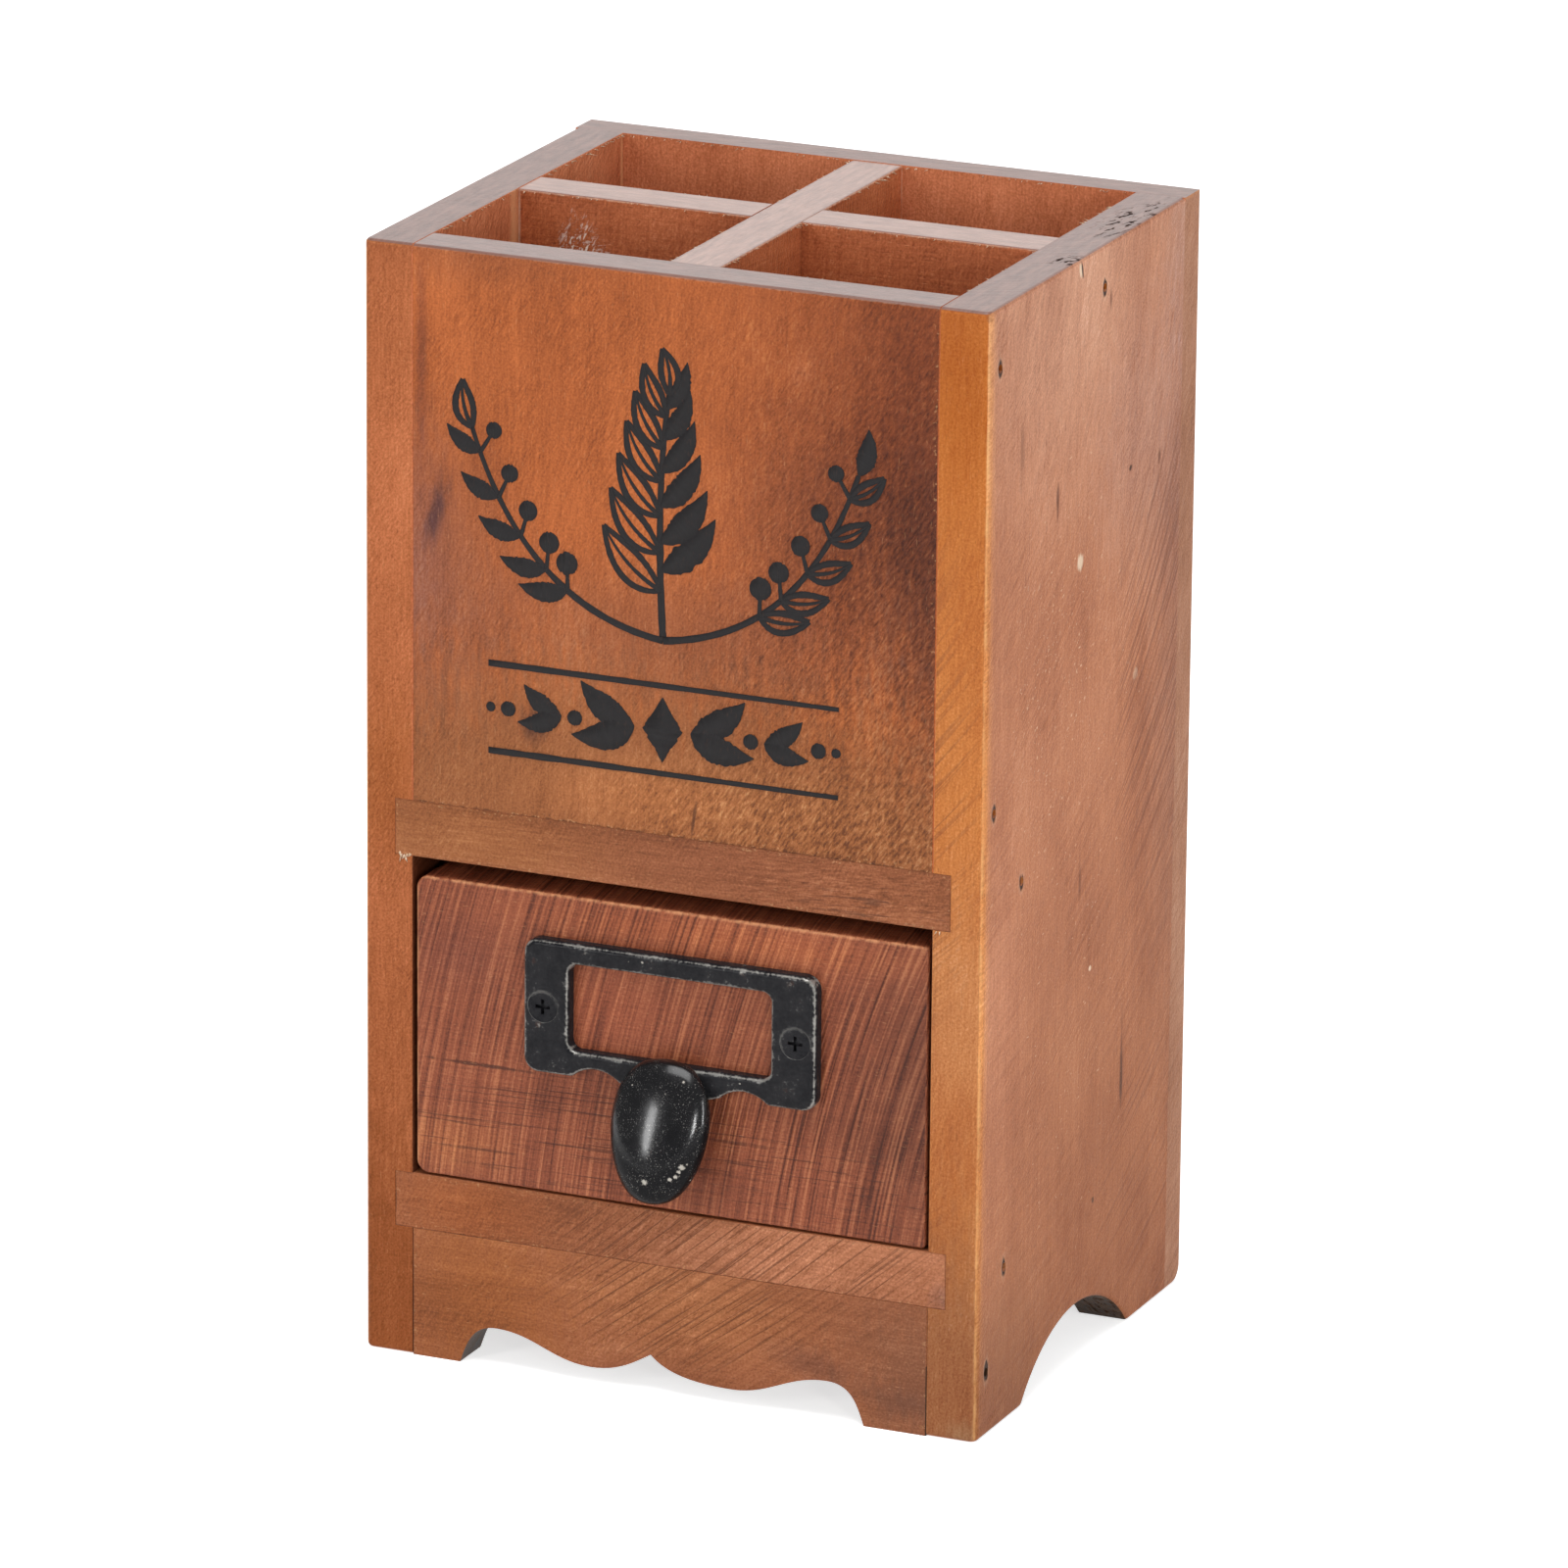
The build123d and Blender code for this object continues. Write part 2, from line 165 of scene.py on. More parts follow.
class Graph:
    """Adds nodes to one node tree."""

    def __init__(self, tree: bpy.types.NodeTree) -> None:
        """Starts from an empty tree."""
        self.tree = tree
        tree.nodes.clear()

    def node(
        self,
        kind: str,
        settings: Optional[Mapping[str, object]] = None,
        inputs: Optional[Mapping[Union[int, str], object]] = None,
        output: Union[int, str] = 0,
    ) -> Signal:
        """Adds a node.

        Args:
            kind: Blender's name of the node type.
            settings: attributes set first; "stops" holds a ramp's places and colours.
            inputs: value or signal for each socket, by name or number.
            output: the output to return.

        Returns:
            The signal of that output.
        """
        made = self.tree.nodes.new(kind)
        for name, value in (settings or {}).items():
            if name == "stops":
                self._set_stops(made.color_ramp, value)
            else:
                setattr(made, name, value)
        for key, value in (inputs or {}).items():
            if isinstance(value, Signal):
                self.tree.links.new(value.socket, made.inputs[key])
            else:
                made.inputs[key].default_value = value
        return Signal(self, made.outputs[output]) if made.outputs else Signal(self, made.inputs[0])

    @staticmethod
    def _set_stops(ramp: bpy.types.ColorRamp, stops: Sequence[tuple[float, Rgb]]) -> None:
        """Gives a colour ramp its stops."""
        while len(ramp.elements) < len(stops):
            ramp.elements.new(1.0)
        for element, (place, colour) in zip(ramp.elements, stops):
            element.position = place
            element.color = linear(colour)

    def maths(self, operation: str, first: Value, second: Value = 0.0) -> Signal:
        """One Math node on one or two values."""
        return self.node("ShaderNodeMath", {"operation": operation}, {0: first, 1: second})

    def least(self, first: Value, second: Value) -> Value:
        """The smaller of two values; numbers alone are compared at once."""
        if isinstance(first, Signal) or isinstance(second, Signal):
            return self.maths("MINIMUM", first, second)
        return min(first, second)

    def most(self, first: Value, second: Value) -> Value:
        """The larger of two values; numbers alone are compared at once."""
        if isinstance(first, Signal) or isinstance(second, Signal):
            return self.maths("MAXIMUM", first, second)
        return max(first, second)

    def mix(self, share: Value, first: Paint, second: Paint) -> Signal:
        """Mixes two colours.

        Args:
            share: 0 for the first colour, 1 for the second.
            first: a display colour, or the signal of a colour.
            second: a display colour, or the signal of a colour.

        Returns:
            The mixed colour.
        """
        settings = {"data_type": "RGBA", "clamp_factor": True}
        low, high = (paint if isinstance(paint, Signal) else linear(paint) for paint in (first, second))
        return self.node("ShaderNodeMix", settings, {0: share, 6: low, 7: high}, 2)

    def tint(self, share: Value, colour: Signal, factor: Sequence[float]) -> Signal:
        """Multiplies a colour, so that its pattern stays.

        Args:
            share: how much of the factor counts, from 0 to 1.
            colour: the colour's signal.
            factor: multipliers of red, green and blue.

        Returns:
            The tinted colour.
        """
        settings = {"data_type": "RGBA", "blend_type": "MULTIPLY", "clamp_factor": True}
        return self.node("ShaderNodeMix", settings, {0: share, 6: colour, 7: (*factor, 1.0)}, 2)

    def scaled(self, vector: Signal, factors: Sequence[float]) -> Signal:
        """A vector with each part multiplied by its own factor."""
        settings = {"operation": "MULTIPLY"}
        return self.node("ShaderNodeVectorMath", settings, {0: vector, 1: tuple(factors)})

    def noise(self, place: Signal, seed: float, detail: float = 2.0, rough: float = 0.5) -> Signal:
        """Soft noise about 0.

        Args:
            place: vector whose unit is one cell of the noise.
            seed: how far the pattern is moved, so that two boards differ.
            detail: number of finer layers.
            rough: strength of each finer layer.

        Returns:
            A signal that mostly stays within -0.5 and 0.5.
        """
        moved = self.node("ShaderNodeVectorMath", {"operation": "ADD"}, {0: place, 1: (seed,) * 3})
        inputs = {"Vector": moved, "Scale": 1.0, "Detail": detail, "Roughness": rough}
        return self.node("ShaderNodeTexNoise", {"noise_dimensions": "3D"}, inputs) * 2.0 - 1.0


class Face(Enum):
    """A face of a board's box: the axis that it is square to, and its low or high end."""

    LEFT = (0, 0)
    RIGHT = (0, 1)
    FRONT = (1, 0)
    BACK = (1, 1)
    LOW = (2, 0)
    TOP = (2, 1)


class Grain(Enum):
    """The way that a board's fibres run, as an axis number."""

    ACROSS = 0
    DEEP = 1
    UP = 2


class Surface(Graph):
    """A material's graph, with the place on the board in millimetres and the way it faces.

    On each face, across and up are the two directions in the face, and depth is the place of the
    face itself, so a pattern on them lies flat on every face. A surface looks along an axis where
    that part of its normal is above FACING.
    """

    FACING = 0.6

    def __init__(self, name: str) -> None:
        """Makes the material and the coordinates that all patterns use."""
        self.material = bpy.data.materials.new(name)
        self.material.use_nodes = True
        super().__init__(self.material.node_tree)
        place = self.node("ShaderNodeTexCoord", output="Object")
        self.place = self.scaled(place, (1 / MM,) * 3)
        self.x, self.y, self.z = self.parts(self.place)
        self.normal = self.parts(self.node("ShaderNodeNewGeometry", output="Normal"))
        normal_x, normal_y, normal_z = self.normal
        self.sideways = abs(normal_x).above(self.FACING)
        self.level = abs(normal_z).above(self.FACING) * (1 - self.sideways)
        self.upright = 1 - self.level
        self.frontal = self.upright - self.sideways
        self.roundness = 1 - self.most(self.most(abs(normal_x), abs(normal_y)), abs(normal_z))
        self.across = self.x + (self.y - self.x) * self.sideways
        self.up = self.z + (self.y - self.z) * self.level
        self.depth = self.x * self.sideways + self.y * self.frontal + self.z * self.level

    def looking(self, face: Face) -> Signal:
        """1 where the surface looks the same way as that face of a box."""
        axis, end = face.value
        return (self.normal[axis] * (2 * end - 1)).above(self.FACING)

    def broad(self, box: Corners) -> Signal:
        """1 on the broad faces of a board, which are square to its shortest side."""
        thin = int(np.argmin(box[1] - box[0]))
        return (self.sideways, self.frontal, self.level)[thin]

    def parts(self, vector: Signal) -> tuple[Signal, Signal, Signal]:
        """The three parts of a vector."""
        split = self.node("ShaderNodeSeparateXYZ", inputs={0: vector})
        return split, split.output("Y"), split.output("Z")

    def mottle(self, cells: Sequence[float], seed: float, detail: float = 2.0, rough: float = 0.5) -> Signal:
        """Noise over the board, with that many cells per millimetre along X, Y and Z."""
        return self.noise(self.scaled(self.place, cells), seed, detail, rough)

    def along_grain(self, grain: Grain, width: float, length: float) -> Signal:
        """A place vector for noise that is stretched along the fibres.

        Args:
            grain: axis of the fibres.
            width: cell size across the fibres.
            length: cell size along them.

        Returns:
            The vector.
        """
        cells = [width] * 3
        cells[grain.value] = length
        return self.scaled(self.place, [1 / cell for cell in cells])

    @staticmethod
    def turned(across: Signal, up: Signal, angle: float) -> tuple[Signal, Signal]:
        """Turns two coordinates in the face.

        Args:
            across: first coordinate.
            up: second coordinate.
            angle: degrees from across towards up.

        Returns:
            The place along a line at that angle, and the place square to it.
        """
        cosine = math.cos(math.radians(angle))
        sine = math.sin(math.radians(angle))
        return across * cosine + up * sine, up * cosine - across * sine

    def edge_distance(self, box: Corners, faces: Sequence[Face]) -> Value:
        """Distance to the nearest edge where two of the given faces meet.

        On the box each point lies on one face, so the middle one of the three distances along
        X, Y and Z is the distance to the nearest edge.

        Args:
            box: corners of the board.
            faces: the faces that count.

        Returns:
            The distance in millimetres.
        """
        along_x, along_y, along_z = (
            self.face_distance(box, [face for face in faces if face.value[0] == axis]) for axis in range(3)
        )
        low = self.least(along_x, along_y)
        high = self.most(along_x, along_y)
        return self.most(low, self.least(high, along_z))

    def face_distance(self, box: Corners, faces: Sequence[Face]) -> Value:
        """Distance to the nearest of the given faces of a board, or FAR with none given."""
        nearest: Value = FAR
        for face in faces:
            axis, end = face.value
            place = (self.x, self.y, self.z)[axis]
            nearest = self.least(nearest, abs(place - float(box[end][axis])))
        return nearest

    def bump(self, height: Value) -> Signal:
        """Turns a height in millimetres into a normal."""
        return self.node("ShaderNodeBump", inputs={"Strength": 1.0, "Distance": MM, "Height": height})

    def finish(self, inputs: Mapping[str, object]) -> bpy.types.Material:
        """Ends the graph in one Principled shader.

        Args:
            inputs: value or signal for each of the shader's sockets.

        Returns:
            The material.
        """
        shader = self.node("ShaderNodeBsdfPrincipled", inputs=inputs)
        self.node("ShaderNodeOutputMaterial", inputs={"Surface": shader})
        return self.material


@dataclass(frozen=True)
class Streaks:
    """Fine marks that run one way over a board's faces, such as saw marks or raised fibres.

    Attributes:
        angle: degrees above the horizontal.
        length: length of one mark.
        width: width of one mark.
        tone: how far the marks lighten and darken the wood.
        relief: height of the marks.
        patch: size of the patches in which they come and go; 0 leaves them everywhere.
        detail: number of finer layers.
        centre: middle of the circles that the marks follow in place of straight lines.
        place: where they are, if not all over the board.
        edge: share of them on the faces that look to the front.
    """

    angle: float
    length: float
    width: float
    tone: float
    relief: float
    patch: float = 0.0
    detail: float = 2.0
    centre: Optional[tuple[float, float]] = None
    place: Optional[Patch] = None
    edge: float = 1.0


@dataclass(frozen=True)
class Patch:
    """A soft ragged ellipse on a board's faces.

    Attributes:
        across: place of its middle along the face.
        up: height of its middle.
        half_width: half its width before it is turned.
        half_height: half its height before it is turned.
        tilt: degrees that it is turned by.
        ragged: how far its outline wanders.
        soft: share of its radius over which it fades.
    """

    across: float
    up: float
    half_width: float
    half_height: float
    tilt: float = 0.0
    ragged: float = 0.4
    soft: float = 0.95


@dataclass(frozen=True)
class Stain:
    """A stained, worn or knotty place.

    Attributes:
        place: where it is.
        colour: its colour.
        strength: share of that colour in its middle.
        edge: whether it lies on the board's front edge and not on its broad faces.
        opaque: whether it covers the grain; otherwise the grain shows through it.
    """

    place: Patch
    colour: Rgb
    strength: float
    edge: bool = False
    opaque: bool = False


@dataclass(frozen=True)
class Scores:
    """Scratches that run one way within a patch.

    Attributes:
        place: where they are.
        angle: degrees above the horizontal.
        length: length of a scratch.
        width: width of a scratch.
        rare: height of the noise above which a scratch shows.
        strength: how strong it is.
        colour: its colour.
        depth: how far it is cut in.
        centre: middle of the circles that the scratches follow in place of straight lines.
        level: whether they lie on the top face and not on the upright ones.
    """

    place: Patch
    angle: float
    length: float
    width: float
    rare: float
    strength: float
    colour: Rgb = (44, 22, 14)
    depth: float = 0.05
    centre: Optional[tuple[float, float]] = None
    level: bool = False


@dataclass(frozen=True)
class Wear:
    """Worn edges and joint lines of a board.

    Attributes:
        faces: faces between which the edges are worn pale.
        colour: colour of a worn edge.
        width: mean width of the wear.
        share: strength of the wear.
        joints: faces that meet a neighbour in a dark line.
        joint_width: width of that line.
        joint_share: strength of that line.
        crumbs: strength of the pale crumbs along it.
    """

    faces: tuple[Face, ...] = ()
    colour: Rgb = (222, 160, 104)
    width: float = 0.5
    share: float = 0.6
    joints: tuple[Face, ...] = ()
    joint_width: float = 0.28
    joint_share: float = 0.7
    crumbs: float = 0.0


@dataclass(frozen=True)
class Gloss:
    """How a surface shines.

    Attributes:
        roughness: mean roughness.
        swing: how far the roughness goes up and down.
        coat: weight of the clear coat.
        coat_roughness: roughness of the clear coat.
        specular: strength of the plain reflection.
    """

    roughness: float = 0.48
    swing: float = 0.12
    coat: float = 0.0
    coat_roughness: float = 0.3
    specular: float = 0.2


@dataclass(frozen=True)
class WoodFinish:
    """Stained wood with its figure, tool marks, stains, worn edges and dark joints.

    Attributes:
        grain: the way that the fibres run.
        tones: display colours from the darkest fibres to the palest.
        edge_tones: the same for faces that look to the front, where they differ.
        seed: moves every pattern, so that no two boards are alike.
        cloud: tone swing of broad clouds.
        figure: tone swing of the growth bands.
        fibre: tone swing of the single fibres.
        grit: tone swing of the fine grit of the surface.
        pores: strength of the short dark pores.
        glints: strength of the painted glints on short fibres that stand up.
        streaks: tool marks.
        scores: scratches.
        stains: stains and knots.
        dents: places along the face and up of punched nail dents on the sideways faces.
        wear: worn edges and joints.
        sawn: height under which the curved saw cuts of the board are darkened with painted shade, as under
            the arches.
        rim_tones: display colours of an end-grain top face, dark and pale, if it has one.
        inner: the way that the board's inner face looks, if it is stained apart.
        inner_tones: display colours of that face.
        lining: stains and painted highlights of that face.
        painted_shade_height: height under which that face is darkened with painted shade, where the drawer
            runs.
        gloss: shine of the upright faces.
        rim_gloss: shine of the top face.
    """

    grain: Grain
    tones: Tones
    edge_tones: Optional[Tones] = None
    seed: float = 0.0
    cloud: float = 0.3
    figure: float = 0.14
    fibre: float = 0.18
    grit: float = 0.28
    pores: float = 0.3
    glints: float = 0.2
    streaks: tuple[Streaks, ...] = ()
    scores: tuple[Scores, ...] = ()
    stains: tuple[Stain, ...] = ()
    dents: tuple[tuple[float, float], ...] = ()
    wear: Wear = Wear()
    sawn: float = 0.0
    rim_tones: Optional[tuple[Rgb, Rgb]] = None
    inner: Optional[Face] = None
    inner_tones: Tones = ((150, 84, 54), (186, 108, 72), (214, 132, 92), (230, 160, 120))
    lining: tuple[Stain, ...] = ()
    painted_shade_height: float = 0.0
    gloss: Gloss = Gloss()
    rim_gloss: Gloss = Gloss(0.36, 0.08, 1.0)

    STOPS = (0.1, 0.37, 0.62, 0.9)
    # cells of the noises: per millimetre, or their width and length along the grain
    WANDER_CELLS = (0.8, 0.8, 0.22)
    CLOUD_CELL = (17.0, 34.0)
    BAND_CELL = (3.4, 60.0)
    FIBRE_CELL = (0.4, 7.0)
    PORE_CELL = (0.3, 1.5)
    GRIT_CELLS = (2.4, 2.4, 2.4)
    CRUMB_CELLS = (1.5, 1.5, 1.5)
    RIM_ALONG = 0.16
    RIM_SQUARE = 0.9
    # levels at which a mark starts and is full
    PATCHY = (-0.4, 0.3)
    PORE_AT = (0.25, 0.6)
    GLINT_AT = (-0.3, -0.62)
    BEND_AT = (0.02, 0.15)
    RIM_EDGE_AT = (0.9, 0.2)
    JOINT_AT = (-0.25, 0.2)
    CRUMB_AT = (0.22, 0.4)
    CRUMB_NEAR = (1.4, 0.3)
    WORN_AT = (-0.55, 0.15)
    HALO_AT = (3.4, 1.0)
    DENT_AT = (1.3, 0.5)
    # heights, depths and shares
    FIBRE_HEIGHT = 0.02
    GRIT_HEIGHT = 0.03
    PORE_DEPTH = 0.03
    JOINT_DEPTH = 0.05
    WORN_HEIGHT = 0.08
    DENT_DEPTH = 0.3
    DENT_HALF = (0.85, 1.6)
    LINE_STEP = 0.2
    RIM_DEPTH = 1.0
    BEND_DEPTH = 1.5
    BEND_SHARE = 0.35
    RIM_EDGE_SHARE = 0.5
    HALO_SHARE = 0.12
    DENT_SHARE = 0.95
    DULLING = 0.5
    FRONT_EDGE = 2.0
    # display colours, among them the painted shade of the saw cuts, and the tint of the painted shade where
    # the drawer runs
    DARK = (40, 22, 15)
    PORE = (84, 42, 26)
    GLINT = (238, 176, 124)
    FLECK = (230, 204, 176)
    CRUMB = (208, 160, 112)
    SHADE = (0.2, 0.18, 0.17)
    SHADED_CUT = ((34, 24, 19), (92, 66, 46))
    RIM_EDGE = (120, 70, 50)

    def material(self, name: str, box: Corners) -> bpy.types.Material:
        """Makes the material for one board.

        Args:
            name: name of the material.
            box: corners of the board.

        Returns:
            The material.
        """
        wood = Surface(name)
        wander = wood.mottle(self.WANDER_CELLS, self.seed + 8, 3.0, 0.62)
        tone, height = self._figure(wood, wander)
        colour = self._ramp(wood, self.tones, tone)
        if self.edge_tones is not None:
            colour = wood.mix(wood.frontal, colour, self._ramp(wood, self.edge_tones, tone))
        for stain in self.stains:
            colour = self._stained(wood, colour, stain, box, wander)
        if self.inner is not None:
            inner = self._ramp(wood, self.inner_tones, tone)
            for stain in self.lining:
                inner = self._stained(wood, inner, stain, box, wander)
            # painted shade: the inner face is darkened below bay, where the drawer runs
            if self.painted_shade_height > 0:
                inner = wood.tint(1 - wood.z.above(self.painted_shade_height), inner, self.SHADE)
            colour = wood.mix(wood.looking(self.inner), colour, inner)
        colour, height = self._pores(wood, colour, height)
        colour, height = self._worn(wood, (colour, height), box, wander)
        rim = self._rim(wood, box)
        if self.rim_tones is not None:
            colour = wood.mix(rim, colour, self._rim_colour(wood, box, wander))
            bend = wood.roundness.smooth(*self.BEND_AT) * wood.z.above(float(box[1][2]) - self.BEND_DEPTH)
            colour = wood.mix(bend * self.BEND_SHARE, colour, self.RIM_EDGE)
        dull: Value = 0.0
        for number, score in enumerate(self.scores):
            colour, height, line = self._scratch(wood, (colour, height), score, wander, number)
            dull = wood.most(dull, line) if score.level else dull
        colour, height = self._dents(wood, (colour, height), wander)
        # painted shade: the saw cuts under the arches are darkened below sawn
        if self.sawn > 0:
            colour = wood.mix(self._shaded_cut(wood, box), colour, self._two_tones(wood, self.SHADED_CUT, wander))
        gloss, top = self.gloss, self.rim_gloss
        roughness = gloss.roughness + wander * gloss.swing
        roughness = roughness + rim * (top.roughness - gloss.roughness) + dull * self.DULLING
        return wood.finish(
            {
                "Base Color": colour,
                "Roughness": roughness,
                "Coat Weight": (gloss.coat + rim * (top.coat - gloss.coat)) * (1 - dull),
                "Coat Roughness": top.coat_roughness,
                "Specular IOR Level": gloss.specular,
                "Normal": wood.bump(height),
            }
        )

    def _ramp(self, wood: Surface, tones: Tones, tone: Signal) -> Signal:
        """The colour for a tone, from the darkest fibres to the palest."""
        return wood.node("ShaderNodeValToRGB", {"stops": list(zip(self.STOPS, tones))}, {"Fac": tone})

    @staticmethod
    def _two_tones(wood: Surface, tones: tuple[Rgb, Rgb], noise: Signal) -> Signal:
        """Two colours mixed by a noise."""
        return wood.mix(noise * 0.9 + 0.5, *tones)

    def _figure(self, wood: Surface, wander: Signal) -> tuple[Signal, Signal]:
        """Tone and height of the clouds, growth bands, fibres, grit and tool marks.

        Each is noise in stretched cells; the tone is 0.5 plus the sum of their swings.
        """
        seed = self.seed
        cloud = wood.noise(wood.along_grain(self.grain, *self.CLOUD_CELL), seed, 2.0)
        bands = wood.noise(wood.along_grain(self.grain, *self.BAND_CELL), seed + 1, 2.0, 0.6)
        fibres = wood.noise(wood.along_grain(self.grain, *self.FIBRE_CELL), seed + 2, 2.0, 0.6)
        grit = wood.mottle(self.GRIT_CELLS, seed + 3, 1.0, 0.6)
        tone = 0.5 + cloud * self.cloud + bands * self.figure + fibres * self.fibre + grit * self.grit
        height = fibres * self.FIBRE_HEIGHT + grit * self.GRIT_HEIGHT
        for number, streak in enumerate(self.streaks):
            mark = self._marks(wood, streak, seed + 7.7 * number, wander)
            tone = tone + mark * streak.tone
            height = height + mark * streak.relief
        return tone, height

    @staticmethod
    def _cells(wood: Surface, along: Signal, square: Signal, length: float, width: float) -> Signal:
        """A place vector for noise in cells of that length and width."""
        parts = {0: along / length, 1: square / width, 2: wood.depth * 0.37}
        return wood.node("ShaderNodeCombineXYZ", inputs=parts)

    @staticmethod
    def _course(wood: Surface, mark: Union[Streaks, Scores]) -> tuple[Signal, Signal]:
        """Place along the marks and square to them; round a centre, the latter is the radius."""
        along, square = wood.turned(wood.across, wood.up, mark.angle)
        if mark.centre is not None:
            square = distance(wood.across - mark.centre[0], wood.up - mark.centre[1])
        return along, square

    def _marks(self, wood: Surface, streak: Streaks, seed: float, wander: Signal) -> Signal:
        """Noise in cells as long and wide as the marks, faded in patches."""
        cells = self._cells(wood, *self._course(wood, streak), streak.length, streak.width)
        mark = wood.noise(cells, seed, streak.detail, 0.6)
        if streak.patch > 0:
            patch = wood.mottle((1 / streak.patch,) * 3, seed + 2, 1.0)
            mark = mark * patch.smooth(*self.PATCHY)
        if streak.place is not None:
            mark = mark * self._inside(wood, streak.place, wander)
        if streak.edge < 1:
            mark = mark * (1 - wood.frontal * (1 - streak.edge))
        return mark

    def _stained(self, wood: Surface, colour: Signal, stain: Stain, box: Corners, wander: Signal) -> Signal:
        """Colours one stain: opaque, or as a multiplier from the wood's mean colour to its own."""
        inside = self._inside(wood, stain.place, wander) * stain.strength
        inside = inside * (wood.frontal if stain.edge else wood.broad(box))
        if stain.opaque:
            return wood.mix(inside, colour, stain.colour)
        tones = self.edge_tones if stain.edge and self.edge_tones is not None else self.tones
        mean = (np.array(linear(tones[1])) + np.array(linear(tones[2]))) / 2
        factor = np.array(linear(stain.colour)) / mean
        return wood.tint(inside, colour, [float(part) for part in factor[:3]])

    @staticmethod
    def _inside(wood: Surface, place: Patch, wander: Signal) -> Signal:
        """1 in the middle of a patch and 0 outside: falls with the radius in its ellipse."""
        along, square = wood.turned(wood.across - place.across, wood.up - place.up, place.tilt)
        radius = distance(along / place.half_width, square / place.half_height) + wander * place.ragged
        return radius.smooth(1.0, 1.0 - place.soft)

    def _scratch(
        self, wood: Surface, base: tuple[Signal, Signal], score: Scores, wander: Signal, number: int
    ) -> tuple[Signal, Signal, Signal]:
        """Colours and sinks thin lines, where noise in long cells is high; also returns them."""
        cells = self._cells(wood, *self._course(wood, score), score.length, score.width)
        line = wood.noise(cells, self.seed + 4.3 * number, 2.0, 0.6)
        line = line.smooth(score.rare, score.rare + self.LINE_STEP) * self._inside(wood, score.place, wander)
        line = line * (wood.level if score.level else wood.upright)
        colour, height = base
        colour = wood.mix(line * score.strength, colour, score.colour)
        return colour, height - line * score.depth, line

    def _pores(self, wood: Surface, colour: Signal, height: Signal) -> tuple[Signal, Signal]:
        """Darkens short thin pores where stretched noise is high, and paints glints on fibres where it is
        low.
        """
        fine = wood.noise(wood.along_grain(self.grain, *self.PORE_CELL), self.seed + 6, 1.0)
        pore = fine.smooth(*self.PORE_AT)
        glint = fine.smooth(*self.GLINT_AT)
        colour = wood.mix(pore * self.pores, colour, self.PORE)
        # painted glints: pale specks where standing fibres would catch the light
        colour = wood.mix(glint * self.glints, colour, self.GLINT)
        return colour, height + (glint - pore) * self.PORE_DEPTH

    def _rim(self, wood: Surface, box: Corners) -> Value:
        """1 on the board's top face, 0 elsewhere; 0 for a board with no rim of its own."""
        if self.rim_tones is None:
            return 0.0
        return wood.level * wood.z.above(float(box[1][2]) - self.RIM_DEPTH)

    def _rim_colour(self, wood: Surface, box: Corners, wander: Signal) -> Signal:
        """Two tones in streaks along the rim, brown where its edges are rounded."""
        thin = int(np.argmin((box[1] - box[0])[:2]))
        cells = [self.RIM_ALONG, self.RIM_ALONG, self.RIM_SQUARE]
        cells[thin] = self.RIM_SQUARE
        ends = wood.mottle(cells, self.seed + 5, 4.0, 0.7)
        colour = self._two_tones(wood, self.rim_tones, ends * 1.3)
        sides = [face for face in Face if face.value[0] == thin]
        gap = wood.face_distance(box, sides) - wander * 0.7
        return wood.mix(gap.smooth(*self.RIM_EDGE_AT) * self.RIM_EDGE_SHARE, colour, self.RIM_EDGE)

    def _worn(
        self, wood: Surface, base: tuple[Signal, Signal], box: Corners, wander: Signal
    ) -> tuple[Signal, Signal]:
        """Darkens the joints and pales the worn edges, both with a wandering width."""
        colour, height = base
        wear = self.wear
        if wear.joints:
            gap = wood.face_distance(box, wear.joints)
            line = (gap - wander * wear.joint_width).smooth(wear.joint_width * 1.5, 0.0)
            line = line * wander.smooth(*self.JOINT_AT) * wood.frontal
            colour = wood.mix(line * wear.joint_share, colour, self.DARK)
            torn = wood.mottle(self.CRUMB_CELLS, self.seed + 4, 1.0)
            crumbs = torn.smooth(*self.CRUMB_AT) * gap.smooth(*self.CRUMB_NEAR) * wood.frontal
            colour = wood.mix(crumbs * wear.crumbs, colour, self.CRUMB)
            height = height - line * self.JOINT_DEPTH
        if wear.faces:
            edge = wood.edge_distance(box, wear.faces)
            rub = (edge - wander * wear.width * 0.8).smooth(wear.width * 1.6, 0.0)
            rub = rub * wander.smooth(*self.WORN_AT)
            colour = wood.mix(rub * wear.share, colour, wear.colour)
            height = height + rub * wander * self.WORN_HEIGHT
        return colour, height

    def _dents(
        self, wood: Surface, base: tuple[Signal, Signal], wander: Signal
    ) -> tuple[Signal, Signal]:
        """Dark upright dents round the nails: the least of the distances to their middles."""
        colour, height = base
        nearest: Value = FAR
        for across, up in self.dents:
            wide = (wood.across - across + wander * 0.8) / self.DENT_HALF[0]
            high = (wood.up - up + wander * 1.4) / self.DENT_HALF[1]
            nearest = wood.least(nearest, wide * wide + high * high)
        if not isinstance(nearest, Signal):
            return colour, height
        halo = (nearest + wander * 2.0).smooth(*self.HALO_AT) * wood.sideways * self.HALO_SHARE
        dent = (nearest + wander * 1.4).smooth(*self.DENT_AT) * wood.sideways
        colour = wood.mix(halo, colour, self.FLECK)
        return wood.mix(dent * self.DENT_SHARE, colour, self.DARK), height - dent * self.DENT_DEPTH

    def _shaded_cut(self, wood: Surface, box: Corners) -> Signal:
        """1 on the saw cuts near the floor, which get painted shade: faces other than the broad one, behind
        the front edge.
        """
        low, high = box
        front_edge = self.FRONT_EDGE if high[0] - low[0] < high[1] - low[1] else -1.0
        behind = wood.y.above(float(low[1]) + front_edge)
        return (1 - wood.broad(box)) * (1 - wood.z.above(self.sawn)) * behind


